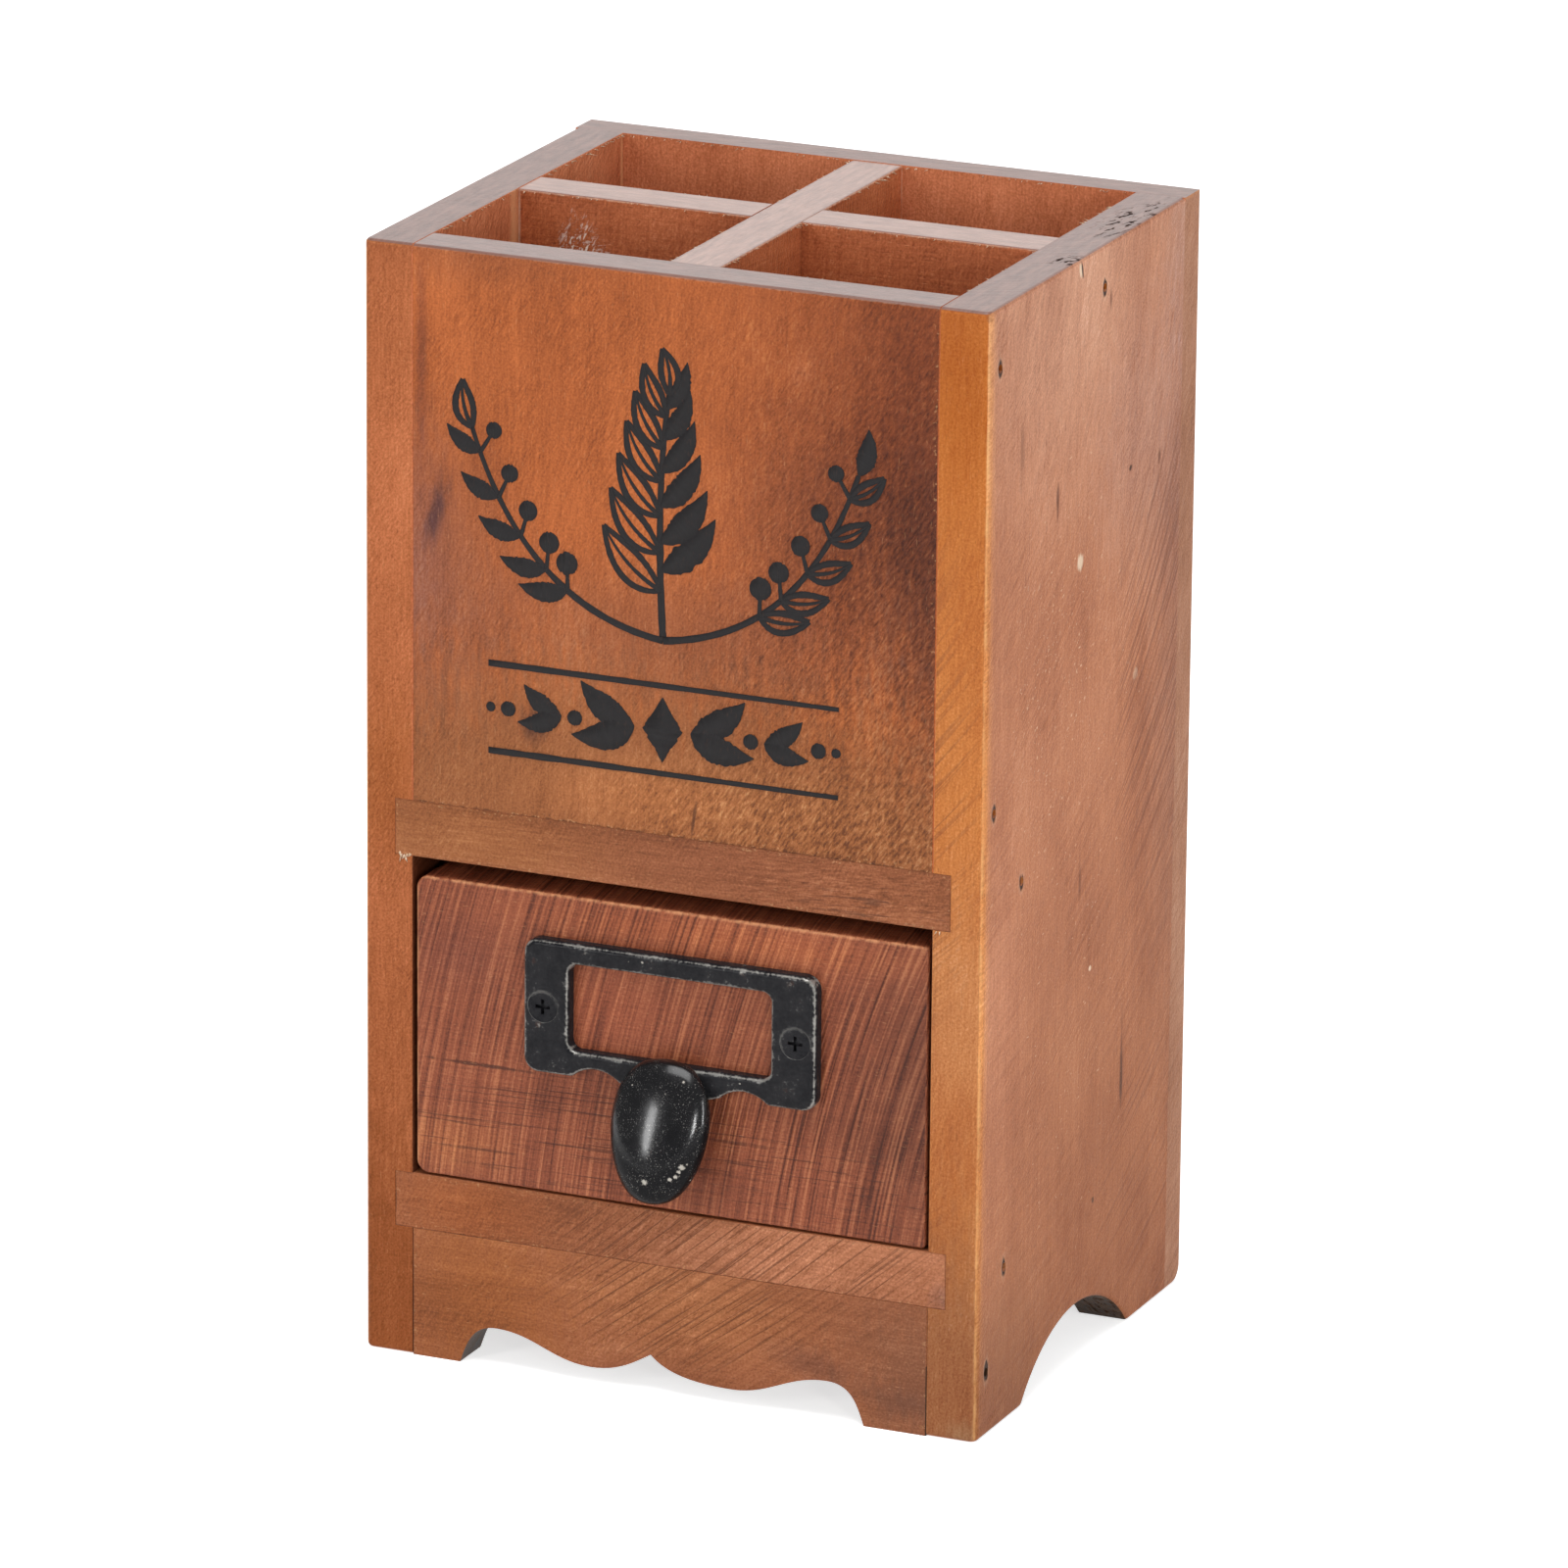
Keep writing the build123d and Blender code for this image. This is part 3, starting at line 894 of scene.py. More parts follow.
@dataclass(frozen=True)
class BlackIron:
    """Black-lacquered casting with rubbed edges, pits and dust, and painted highlights on its rounded edges
    and the upper half of its screw rims.

    Attributes:
        lacquer: colour of the black coat.
        worn: colour of its thin places.
        rubbed: colour of the metal that shows on rubbed edges.
        roughness: mean roughness.
        specular: strength of the plain reflection.
        shine: weight of the clear coat on what stands out before the plate.
        deep: how far the lacquer before the plate goes to black.
        specks: share of the cells that hold a pale speck.
        rub: strength of the rubbed edges, which are partly a painted highlight.
        plate: Y behind which the rounded edges are a plate's rubbed edges.
        rust: strength of the brown spots.
        dust: strength of the grey dust before the plate.
        heads: X and Z of the screw heads, which have rubbed rims with a painted highlight on their upper
            half.
        head_radius: radius of a screw head.
        chips: X, Z and radius of the pale worn chips.
    """

    lacquer: Rgb = (28, 28, 31)
    worn: Rgb = (52, 51, 53)
    rubbed: Rgb = (178, 176, 170)
    roughness: float = 0.13
    specular: float = 0.08
    shine: float = 0.0
    deep: float = 0.6
    specks: float = 0.05
    rub: float = 0.7
    plate: float = -FAR
    rust: float = 0.4
    dust: float = 0.0
    heads: tuple[tuple[float, float], ...] = ()
    head_radius: float = 2.6
    chips: tuple[tuple[float, float, float], ...] = ()

    SPECK = (226, 220, 208)
    RUST = (70, 44, 32)
    BLACK = (6, 6, 7)
    # cells of the noises per millimetre
    CLOUD_CELLS = (0.35, 0.35, 0.35)
    PIT_CELLS = (2.2, 2.2, 2.2)
    GRIT_CELLS = (4.5, 4.5, 4.5)
    SPECK_SCALE = 0.8
    # levels at which a mark starts and is full
    RUST_AT = (0.32, 0.5)
    EDGE_AT = (0.1, 0.34)
    CHIP_AT = (1.2, 0.5)
    RING_AT = (0.4, 0.1)
    LIT_HALF_RING_AT = (-0.1, 0.5)
    GRIT_AT = (0.22, 0.5)
    DUST_AT = (-0.3, 0.25)
    COAT_AT = (0.1, 0.26)
    # heights, shares and the coat
    EDGE_FADE = 0.15
    SPECK_SHARE = 0.65
    METAL_SHARE = 0.6
    COAT_ROUGHNESS = 0.16
    PIT_HEIGHT = 0.028
    CLOUD_HEIGHT = 0.06
    RING_SHARE = 0.15

    def material(self, name: str, seed: float = 0.0) -> bpy.types.Material:
        """Makes the material.

        Args:
            name: name of the material.
            seed: moves the patterns.

        Returns:
            The material.
        """
        iron = Surface(name)
        cloud = iron.mottle(self.CLOUD_CELLS, seed, 3.0, 0.6)
        pits = iron.mottle(self.PIT_CELLS, seed + 1, 3.0, 0.65)
        shade = iron.mix(cloud * 0.7 + pits * 0.5 + 0.3, self.lacquer, self.worn)
        before = 1 - iron.y.above(self.plate)
        shade = iron.mix(before * self.deep, shade, self.BLACK)
        shade = iron.mix(cloud.smooth(*self.RUST_AT) * self.rust, shade, self.RUST)
        rubbed = self._rubbed(iron, cloud, pits, before)
        colour = iron.mix(rubbed, shade, self.rubbed)
        cells = iron.node("ShaderNodeTexVoronoi", inputs={"Vector": iron.place, "Scale": self.SPECK_SCALE})
        chosen, size, _ = iron.parts(cells.output("Color"))
        speck = (cells + pits * 0.25).smooth(size * 0.2 + 0.06, size * 0.08)
        speck = speck * chosen.above(1 - self.specks)
        for across, up, radius in self.chips:
            reach = self._radius(iron, across, up) / radius + pits * 1.2
            speck = iron.most(speck, reach.smooth(*self.CHIP_AT))
        colour = iron.mix(speck * self.SPECK_SHARE, colour, self.SPECK)
        return iron.finish(
            {
                "Base Color": colour,
                "Roughness": self.roughness + pits * 0.08 + cloud * 0.07 + speck * 0.3,
                "Metallic": rubbed * self.METAL_SHARE,
                "Specular IOR Level": self.specular,
                "Coat Weight": before * iron.normal[2].smooth(*self.COAT_AT) * self.shine,
                "Coat Roughness": self.COAT_ROUGHNESS,
                "Normal": iron.bump(pits * self.PIT_HEIGHT + cloud * self.CLOUD_HEIGHT),
            }
        )

    @staticmethod
    def _radius(iron: Surface, across: float, up: float) -> Signal:
        """Distance from a point of the front, across and up."""
        return distance(iron.x - across, iron.z - up)

    def _rubbed(self, iron: Surface, cloud: Signal, pits: Signal, before: Signal) -> Signal:
        """Share of rubbed-through metal: on the rounded edges, where it is partly a painted highlight, on
        the rims of the screws, with a painted highlight on their upper half, and in dusty grit.
        """
        # pale rubbed metal on the rounded edges, partly a painted highlight along them
        edge = (iron.roundness + pits * 0.3 + cloud * 0.25).smooth(*self.EDGE_AT) * self.rub
        edge = edge * iron.y.smooth(self.plate - self.EDGE_FADE, self.plate)
        for across, up in self.heads:
            ring = abs(self._radius(iron, across, up) - self.head_radius) - pits * 0.25
            # painted highlight: each screw rim is paler on its upper half
            half = (cloud + pits * 0.5 + (iron.z - up) * 0.12).smooth(*self.LIT_HALF_RING_AT)
            edge = iron.most(edge, ring.smooth(*self.RING_AT) * half * self.RING_SHARE)
        fine = iron.mottle(self.GRIT_CELLS, 9.0, 2.0, 0.6)
        grit = fine.smooth(*self.GRIT_AT) * cloud.smooth(*self.DUST_AT) * self.dust
        return iron.most(edge, grit * before)


@dataclass(frozen=True)
class Ink:
    """Dry black screen ink on wood.

    Attributes:
        colour: colour of the ink.
        thin: colour where the fibres show through.
        roughness: mean roughness.
    """

    colour: Rgb = (36, 34, 35)
    thin: Rgb = (64, 48, 42)
    roughness: float = 0.62

    CELLS = (2.4, 2.4, 0.8)
    THIN_AT = (0.1, 0.6)
    THIN_SHARE = 0.6
    HEIGHT = 0.02

    def material(self, name: str) -> bpy.types.Material:
        """Makes the material: black with faint thin places over the fibres."""
        ink = Surface(name)
        thin = ink.mottle(self.CELLS, 3.0, 3.0, 0.6)
        return ink.finish(
            {
                "Base Color": ink.mix(thin.smooth(*self.THIN_AT) * self.THIN_SHARE, self.colour, self.thin),
                "Roughness": self.roughness + thin * 0.1,
                "Specular IOR Level": 0.2,
                "Normal": ink.bump(thin * self.HEIGHT),
            }
        )


def dress(node: str, material: bpy.types.Material) -> None:
    """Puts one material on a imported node.

    Args:
        node: name of the node.
        material: its new material.
    """
    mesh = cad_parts[node].data
    mesh.materials.clear()
    mesh.materials.append(material)
    LOG.info("dressed %s in %s", node, material.name)


def dress_board(node: str, finish: WoodFinish, wood: str = "wood") -> None:
    """Puts a board in its own wood; the material is named for the node and the wood."""
    dress(node, finish.material(f"{node}_{wood}", node_box(node)))


def mesh_piece(name: str, points: np.ndarray, faces: np.ndarray) -> bpy.types.Object:
    """Makes an object at the origin from whole arrays.

    Args:
        name: name of the piece.
        points: places in millimetres, one row each.
        faces: point numbers of each face, in outward order; all faces have as many corners.

    Returns:
        The object, linked into the scene.
    """
    mesh = bpy.data.meshes.new(name)
    mesh.vertices.add(len(points))
    mesh.vertices.foreach_set("co", (points * MM).astype(np.float32).ravel())
    mesh.loops.add(faces.size)
    mesh.loops.foreach_set("vertex_index", faces.astype(np.int32).ravel())
    mesh.polygons.add(len(faces))
    corners = faces.shape[1]
    mesh.polygons.foreach_set("loop_start", np.arange(0, faces.size, corners, dtype=np.int32))
    mesh.update(calc_edges=True)
    mesh.validate()
    piece = bpy.data.objects.new(name, mesh)
    bpy.context.scene.collection.objects.link(piece)
    LOG.info("made %s with %d faces", name, len(faces))
    return piece


def brad_places(side: int, nodes: Sequence[str]) -> tuple[tuple[float, float], ...]:
    """Where brads go through one side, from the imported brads' own meshes.

    Points within BRAD_REACH of each other belong to one brad, and its place is the middle of
    their box.

    Args:
        side: -1 for the left side, 1 for the right one.
        nodes: groups of brads.

    Returns:
        Y and Z of each brad.
    """
    places: list[tuple[float, float]] = []
    for node in nodes:
        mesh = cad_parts[node].data
        points = np.empty(len(mesh.vertices) * 3)
        mesh.vertices.foreach_get("co", points)
        points = points.reshape(-1, 3) / MM
        points = points[points[:, 0] * side > 0][:, 1:]
        while len(points):
            near = np.linalg.norm(points - points[0], axis=1) < BRAD_REACH
            y, z = (points[near].min(0) + points[near].max(0)) / 2
            places.append((float(y), float(z)))
            points = points[~near]
    return tuple(places)


@dataclass
class Carcass:
    """The fixed boards: two sides, front, back, two shelves, apron, dividers and their brads.

    Attributes:
        seed: moves the patterns of all boards.
        arch: height up to which the curved saw cuts of the sides and the apron reach, and under which they
            get painted shade.
    """

    seed: float = 2.0
    arch: float = 12.0

    TAN = ((120, 58, 28), (160, 84, 40), (190, 104, 54), (214, 132, 76))
    PALE_TAN = ((125, 66, 41), (166, 95, 57), (197, 117, 76), (220, 147, 103))
    HONEY = ((143, 78, 38), (179, 103, 53), (203, 128, 69), (225, 157, 105))
    ROSE = ((136, 78, 50), (172, 108, 76), (196, 130, 94), (216, 158, 124))
    BROWN = ((98, 52, 30), (134, 77, 46), (161, 98, 64), (190, 126, 88))
    SAWN = ((128, 64, 38), (169, 93, 57), (194, 112, 71), (217, 141, 98))
    BACK = ((125, 77, 52), (158, 107, 79), (179, 127, 98), (196, 153, 126))
    RIM = ((98, 68, 58), (152, 112, 100))
    STEEL = BlackIron((50, 40, 34), (92, 78, 68), (110, 100, 90), 0.5, 0.4, specks=0.0, rub=0.3)
    SAW = (-75.0, 218.0)
    SIDE_GLOSS = Gloss(roughness=0.5, swing=0.1, specular=0.06)
    SIDE_WEAR = Wear((Face.LEFT, Face.FRONT, Face.TOP), (222, 150, 92), 0.5, 0.4)
    SIDE_BRADS = (
        "front_panel_brads",
        "compartment_floor_brads",
        "drawer_floor_brads",
        "apron_brads",
        "cross_divider_brads",
    )

    def build(self) -> None:
        """Dresses every board and its brads."""
        strokes = Streaks(59, 1.7, 0.36, 0.32, 0.1, 9.0)
        fine = Streaks(72, 5.0, 0.36, 0.18, 0.04, 12.0)
        self._front(strokes, fine)
        self._sides(strokes, fine)
        self._dividers()
        self._rails()
        steel = self.STEEL.material("brad_steel_dark")
        for node in sorted(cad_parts):
            if node.endswith("_brads"):
                dress(node, steel)

    def _front(self, strokes: Streaks, fine: Streaks) -> None:
        """The front panel: dark to the right, browner below, with a smear, a knot and a crack."""
        stains = (
            Stain(Patch(54, 172, 64, 62, ragged=0.2, soft=0.8), (112, 52, 26), 0.85),
            Stain(Patch(51, 143, 24, 47, ragged=0.25, soft=0.8), (98, 53, 36), 0.68),
            Stain(Patch(24, 148, 28, 32, ragged=0.3), (140, 75, 43), 0.75),
            Stain(Patch(0, 130, 60, 17, ragged=0.3), (144, 82, 50), 0.8),
            Stain(Patch(-42, 136, 22, 36, ragged=0.3), (146, 84, 54), 0.8),
            Stain(Patch(-36, 192, 34, 11, ragged=0.3), (146, 82, 48), 0.7),
            Stain(Patch(12, 103, 54, 11, ragged=0.3), (202, 113, 58), 0.8),
            Stain(Patch(22.5, 177, 3.0, 4.5, tilt=-20), (214, 126, 74), 0.45),
            Stain(Patch(-46, 142, 11, 36, ragged=0.3), (150, 84, 52), 0.7),
            Stain(Patch(-42, 145.5, 2.4, 10, tilt=-15), (98, 56, 40), 0.9),
            Stain(Patch(-44.6, 172, 1.6, 28), (134, 70, 42), 0.8),
            Stain(Patch(0, 92, 120, 42, ragged=0.3, soft=0.6), (144, 87, 50), 0.95),
            Stain(Patch(-8, 101, 26, 10), (194, 104, 52), 0.6),
            Stain(Patch(-24.6, 111.8, 3.6, 4.6), (92, 50, 34), 0.75),
            Stain(
                Patch(4.1, 99.5, 0.4, 4.0, tilt=-8, ragged=0.9, soft=0.7), (66, 36, 24), 0.7, opaque=True
            ),
        )
        wear = Wear(
            faces=(Face.FRONT, Face.BACK, Face.TOP),
            colour=(238, 212, 186),
            width=0.32,
            joints=(Face.RIGHT, Face.LOW),
            joint_width=0.2,
            joint_share=0.6,
            crumbs=0.4,
        )
        rough = Streaks(56, 1.6, 0.5, 0.8, 0.26, place=Patch(58, 140, 66, 90, ragged=0.2, soft=0.8))
        coarse = replace(rough, place=Patch(26, 100, 60, 20, ragged=0.2))
        dress_board(
            "front_panel",
            WoodFinish(
                Grain.UP,
                self.TAN,
                seed=self.seed,
                streaks=(strokes, fine, rough, coarse),
                stains=stains,
                wear=wear,
                rim_tones=self.RIM,
                inner=Face.BACK,
            ),
        )

    def _sides(self, strokes: Streaks, fine: Streaks) -> None:
        """The two sides and the back: one rosy wood with curved saw marks, varied board by board."""
        saw = Streaks(40, 26.0, 1.0, 0.16, 0.06, 30.0, 1.0, self.SAW, edge=0.2)
        brush = Streaks(35, 4.0, 0.36, 0.34, 0.08, 12.0, edge=0.3)
        rosy = WoodFinish(
            Grain.UP,
            self.ROSE,
            figure=0.08,
            streaks=(saw, brush, fine),
            rim_tones=self.RIM,
            gloss=self.SIDE_GLOSS,
        )
        # height below which the inner faces of the sides get painted shade, where the drawer runs
        painted_shade_height = float(node_box("compartment_floor")[0][2])
        side = replace(rosy, sawn=self.arch, painted_shade_height=painted_shade_height)
        self._left_side(replace(side, streaks=(saw, brush, strokes)))
        self._right_side(side)
        dress_board(
            "back_panel",
            replace(
                rosy,
                tones=self.BACK,
                edge_tones=self.ROSE,
                seed=self.seed + 31,
                wear=replace(self.SIDE_WEAR, faces=(Face.LEFT, Face.RIGHT, Face.BACK, Face.TOP)),
                inner=Face.FRONT,
            ),
        )

    def _left_side(self, side: WoodFinish) -> None:
        """The left side: its front edge is browner at both ends, and two pale lines inside are painted
        highlights down the corners of the compartments.
        """
        back = float(node_box("back_panel")[0][1])
        highlight_colour = (236, 178, 128)
        edge = (
            Stain(Patch(-51, 0, 40, 80, soft=0.85), (140, 77, 41), 0.95, True),
            Stain(Patch(-51, 194, 14, 13), (146, 82, 50), 0.8, True),
            Stain(Patch(-51, 100, 14, 25, soft=0.9), (160, 91, 50), 0.9, True),
        )
        # painted highlights: two pale lines down inner corners of the compartments
        corner_highlights = (
            Stain(Patch(back - 43.2, 165, 2.6, 44, ragged=0.2, soft=0.9), highlight_colour, 0.8, opaque=True),
            Stain(Patch(back - 0.7, 165, 0.8, 40, ragged=0.2, soft=0.7), highlight_colour, 0.7, opaque=True),
        )
        dress_board(
            "left_side",
            replace(
                side,
                edge_tones=self.PALE_TAN,
                seed=self.seed + 11,
                stains=(*edge, *self._side_tones()),
                dents=brad_places(-1, self.SIDE_BRADS),
                wear=self.SIDE_WEAR,
                inner=Face.RIGHT,
                lining=corner_highlights,
            ),
        )

    def _right_side(self, side: WoodFinish) -> None:
        """The right side: a honey front edge, pale and dark scores, and scuffs on its rim."""
        edge = (
            Stain(Patch(51, 176, 30, 44, ragged=0.2), (174, 96, 41), 0.95, True),
            Stain(Patch(51, 70, 30, 38, ragged=0.2), (189, 124, 79), 0.8, True),
            Stain(Patch(51, 4, 30, 54, ragged=0.2, soft=0.8), (150, 96, 63), 0.95, True),
            Stain(Patch(53, 1, 5, 4), (206, 150, 90), 0.6, True),
        )
        pale = (228, 192, 160)
        saw_cut = (122, 72, 52)
        scuff = (38, 30, 28)
        scores = (
            Scores(Patch(-12, 120, 26, 34, soft=0.8), 50, 1.2, 0.7, 0.28, 0.85, pale, -0.04),
            Scores(Patch(-2, 100, 50, 110, soft=0.8), 20, 1.3, 0.7, 0.34, 0.85, pale, -0.04),
            Scores(Patch(-14, 164, 22, 28, soft=0.8), 86, 3.0, 0.45, 0.2, 0.5, (112, 62, 44)),
            Scores(Patch(34, 112, 26, 64, soft=0.7), 40, 44.0, 0.6, 0.0, 0.55, saw_cut, 0.06, self.SAW),
            Scores(Patch(30, 30, 26, 30, soft=0.7), 40, 44.0, 0.6, 0.06, 0.45, saw_cut, 0.06, self.SAW),
            Scores(Patch(52, 26, 4.5, 18, soft=0.6), 76, 2.4, 0.8, 0.08, 0.9, scuff, 0.1, level=True),
            Scores(Patch(53, -3, 3, 5, soft=0.6), 60, 1.8, 0.9, 0.02, 0.9, scuff, 0.1, level=True),
        )
        dress_board(
            "right_side",
            replace(
                side,
                edge_tones=self.HONEY,
                seed=self.seed + 23,
                scores=scores,
                stains=(*edge, *self._side_tones(), *self._side_marks()),
                dents=brad_places(1, self.SIDE_BRADS),
                # pale front edge: worn, and partly a painted highlight along the rounded edge
                wear=Wear((Face.RIGHT, Face.FRONT), (240, 190, 126), 0.5, 0.7),
                inner=Face.LEFT,
            ),
        )

    @staticmethod
    def _side_tones() -> tuple[Stain, ...]:
        """Broad tones of a side: paler above and at the upper back as a painted sheen, browner below as
        painted shade, and golden along its front edge, partly wear and partly a painted highlight of the
        rounded edge.
        """
        return (
            # painted sheen: paler above
            Stain(Patch(-4, 196, 72, 70, ragged=0.15), (206, 151, 122), 0.9),
            # painted shade: browner below
            Stain(Patch(14, 0, 100, 118, ragged=0.15, soft=0.9), (164, 103, 69), 0.9),
            Stain(Patch(48, 112, 24, 100, ragged=0.25), (158, 111, 90), 0.65),
            Stain(Patch(44, 184, 15, 32, ragged=0.25), (160, 114, 94), 0.5),
            # painted sheen: greyer and paler at the upper back
            Stain(Patch(30, 150, 32, 36, ragged=0.25), (190, 137, 112), 0.65),
            Stain(Patch(-32, 70, 17, 44, ragged=0.25), (214, 147, 112), 0.5),
            Stain(Patch(-30, 6, 34, 30, ragged=0.25), (150, 97, 68), 0.75),
            # golden front edge: wear, and partly a painted highlight of the rounded edge
            Stain(Patch(-40, 95, 5, 220, ragged=0.3, soft=0.9), (222, 146, 80), 0.75),
        )

    @staticmethod
    def _side_marks() -> tuple[Stain, ...]:
        """Marks of the right side: dark streaks and pale chips."""
        dark = (64, 38, 28)
        brown = (106, 60, 42)
        pale = (236, 210, 182)
        marks = (
            (Patch(21.9, 45, 0.9, 7.0, ragged=0.5, soft=0.8), dark, 0.8),
            (Patch(21.9, 51, 0.6, 8.0, ragged=0.4), brown, 0.5),
            (Patch(-9.8, 152, 1.0, 4.0, ragged=0.7, soft=0.8), brown, 0.85),
            (Patch(-25, 164, 1.4, 8.0, ragged=0.8), brown, 0.5),
            (Patch(33.9, 148.4, 0.9, 2.0, soft=0.8), brown, 0.8),
            (Patch(21.3, 149.6, 0.8, 0.6, tilt=30, ragged=0.2, soft=0.5), dark, 0.95),
            (Patch(2.3, 84, 0.9, 5.0, ragged=0.5), brown, 0.6),
            (Patch(11.6, 180.5, 0.7, 2.6, ragged=0.3), brown, 0.8),
            (Patch(10.3, 26.6, 0.6, 0.7, ragged=0.2, soft=0.5), dark, 0.8),
            (Patch(0.3, 139, 1.6, 1.9, ragged=0.6, soft=0.5), pale, 0.9),
            (Patch(7.3, 67.8, 0.7, 0.6, ragged=0.2, soft=0.5), pale, 0.95),
            (Patch(24.9, 113.6, 1.3, 1.3, ragged=0.9, soft=0.5), pale, 0.35),
            (Patch(-1.6, 188.2, 0.7, 1.6, tilt=15, ragged=0.3, soft=0.5), pale, 0.95),
            (Patch(-0.9, 188.2, 0.4, 1.8, tilt=15, ragged=0.3, soft=0.5), dark, 0.9),
        )
        return tuple(Stain(place, colour, strength, opaque=True) for place, colour, strength in marks)

    def _dividers(self) -> None:
        """The two dividers: rough sawn inside, with white scuffs low on the cross divider."""
        white = (240, 226, 212)
        scuffs = (
            Scores(Patch(-34.8, 179, 5, 9, tilt=10, soft=0.6), 66, 1.3, 0.4, 0.06, 1.0, white, -0.03),
            Scores(Patch(-32.5, 175, 7, 12, tilt=24, soft=0.7), 12, 1.5, 0.35, 0.08, 1.0, white, -0.03),
            Scores(Patch(-29, 170, 10, 7, tilt=-25, soft=0.7), 150, 1.6, 0.4, 0.1, 1.0, white, -0.03),
        )
        faces = (Face.LEFT, Face.RIGHT, Face.FRONT, Face.BACK, Face.TOP)
        for number, node in enumerate(("long_divider", "cross_divider")):
            dress_board(
                node,
                WoodFinish(
                    Grain.DEEP if node == "long_divider" else Grain.ACROSS,
                    self.SAWN,
                    seed=self.seed + 41 + 5 * number,
                    streaks=(Streaks(88, 9.0, 0.45, 0.2, 0.05), Streaks(60, 1.4, 0.4, 0.26, 0.06)),
                    scores=scuffs * number,
                    wear=Wear(faces, (236, 210, 186), 0.3, 0.5),
                    rim_tones=((140, 104, 92), (190, 150, 134)),
                ),
            )

    def _rails(self) -> None:
        """The shelves, whose front edges show as rails, and the apron with its slanted saw marks."""
        around = (Face.LEFT, Face.RIGHT, Face.LOW, Face.TOP)
        brush = Streaks(60, 1.8, 0.4, 0.26, 0.08, 9.0)
        cut = (96, 54, 34)
        shelf = WoodFinish(
            Grain.ACROSS,
            self.BROWN,
            seed=self.seed + 53,
            streaks=(
                Streaks(3, 12.0, 0.5, 0.2, 0.03, 16.0),
                brush,
                Streaks(10, 2.4, 0.5, 0.5, 0.12, place=Patch(34, 91, 40, 10)),
            ),
            scores=(Scores(Patch(36, 89, 18, 4, soft=0.7), 2, 8.0, 0.5, 0.1, 0.6, (78, 46, 34)),),
            stains=(
                Stain(Patch(-38, 92, 40, 12, soft=0.8), (143, 85, 47), 0.9, True),
                Stain(Patch(8, 91, 36, 10), (140, 82, 54), 0.4, True),
            ),
            wear=Wear(joints=around, joint_width=0.17, joint_share=0.75, crumbs=0.35),
        )
        dress_board("compartment_floor", shelf)
        lower = (
            Stain(Patch(-36, 27, 22, 12), (156, 87, 46), 0.9, True),
            # paler to the right, where the whitish sheen is painted into the colour
            Stain(Patch(30, 28, 50, 20), (180, 116, 82), 0.9, True),
            Stain(Patch(50, 24, 5, 4), (116, 76, 60), 0.6, True),
        )
        sawn = Scores(Patch(14, 26, 46, 16, soft=0.6), 41, 30.0, 0.4, 0.1, 0.6, cut, 0.08)
        light = Streaks(41, 14.0, 0.5, 0.3, 0.06, place=Patch(10, 24, 56, 40))
        lower_shelf = replace(
            shelf, seed=self.seed + 60, streaks=(light, brush), scores=(sawn,), stains=lower
        )
        dress_board("drawer_floor", lower_shelf)
        dress_board(
            "apron",
            WoodFinish(
                Grain.ACROSS,
                self.BROWN,
                seed=self.seed + 71,
                streaks=(replace(light, angle=37), brush),
                scores=(
                    replace(sawn, place=Patch(2, 16, 34, 16, soft=0.7), angle=37),
                    Scores(Patch(-30, 14, 18, 6), 4, 8.0, 0.5, 0.24, 0.5, cut),
                ),
                stains=(
                    Stain(Patch(-34, 12, 26, 26), (150, 86, 43), 0.9),
                    Stain(Patch(4, 16, 30, 14), (172, 108, 67), 0.8),
                    Stain(Patch(46, 10, 24, 26), (118, 72, 48), 0.85),
                    Stain(Patch(26, 9, 13, 4.5, tilt=-14), (108, 64, 46), 0.6),
                    Stain(Patch(42, 5, 9, 5), (112, 68, 48), 0.6),
                ),
                wear=Wear(joints=(Face.LEFT, Face.RIGHT), joint_width=0.18, joint_share=0.75, crumbs=0.3),
                # its saw cuts under the arches get painted shade below this height
                sawn=self.arch,
            ),
        )


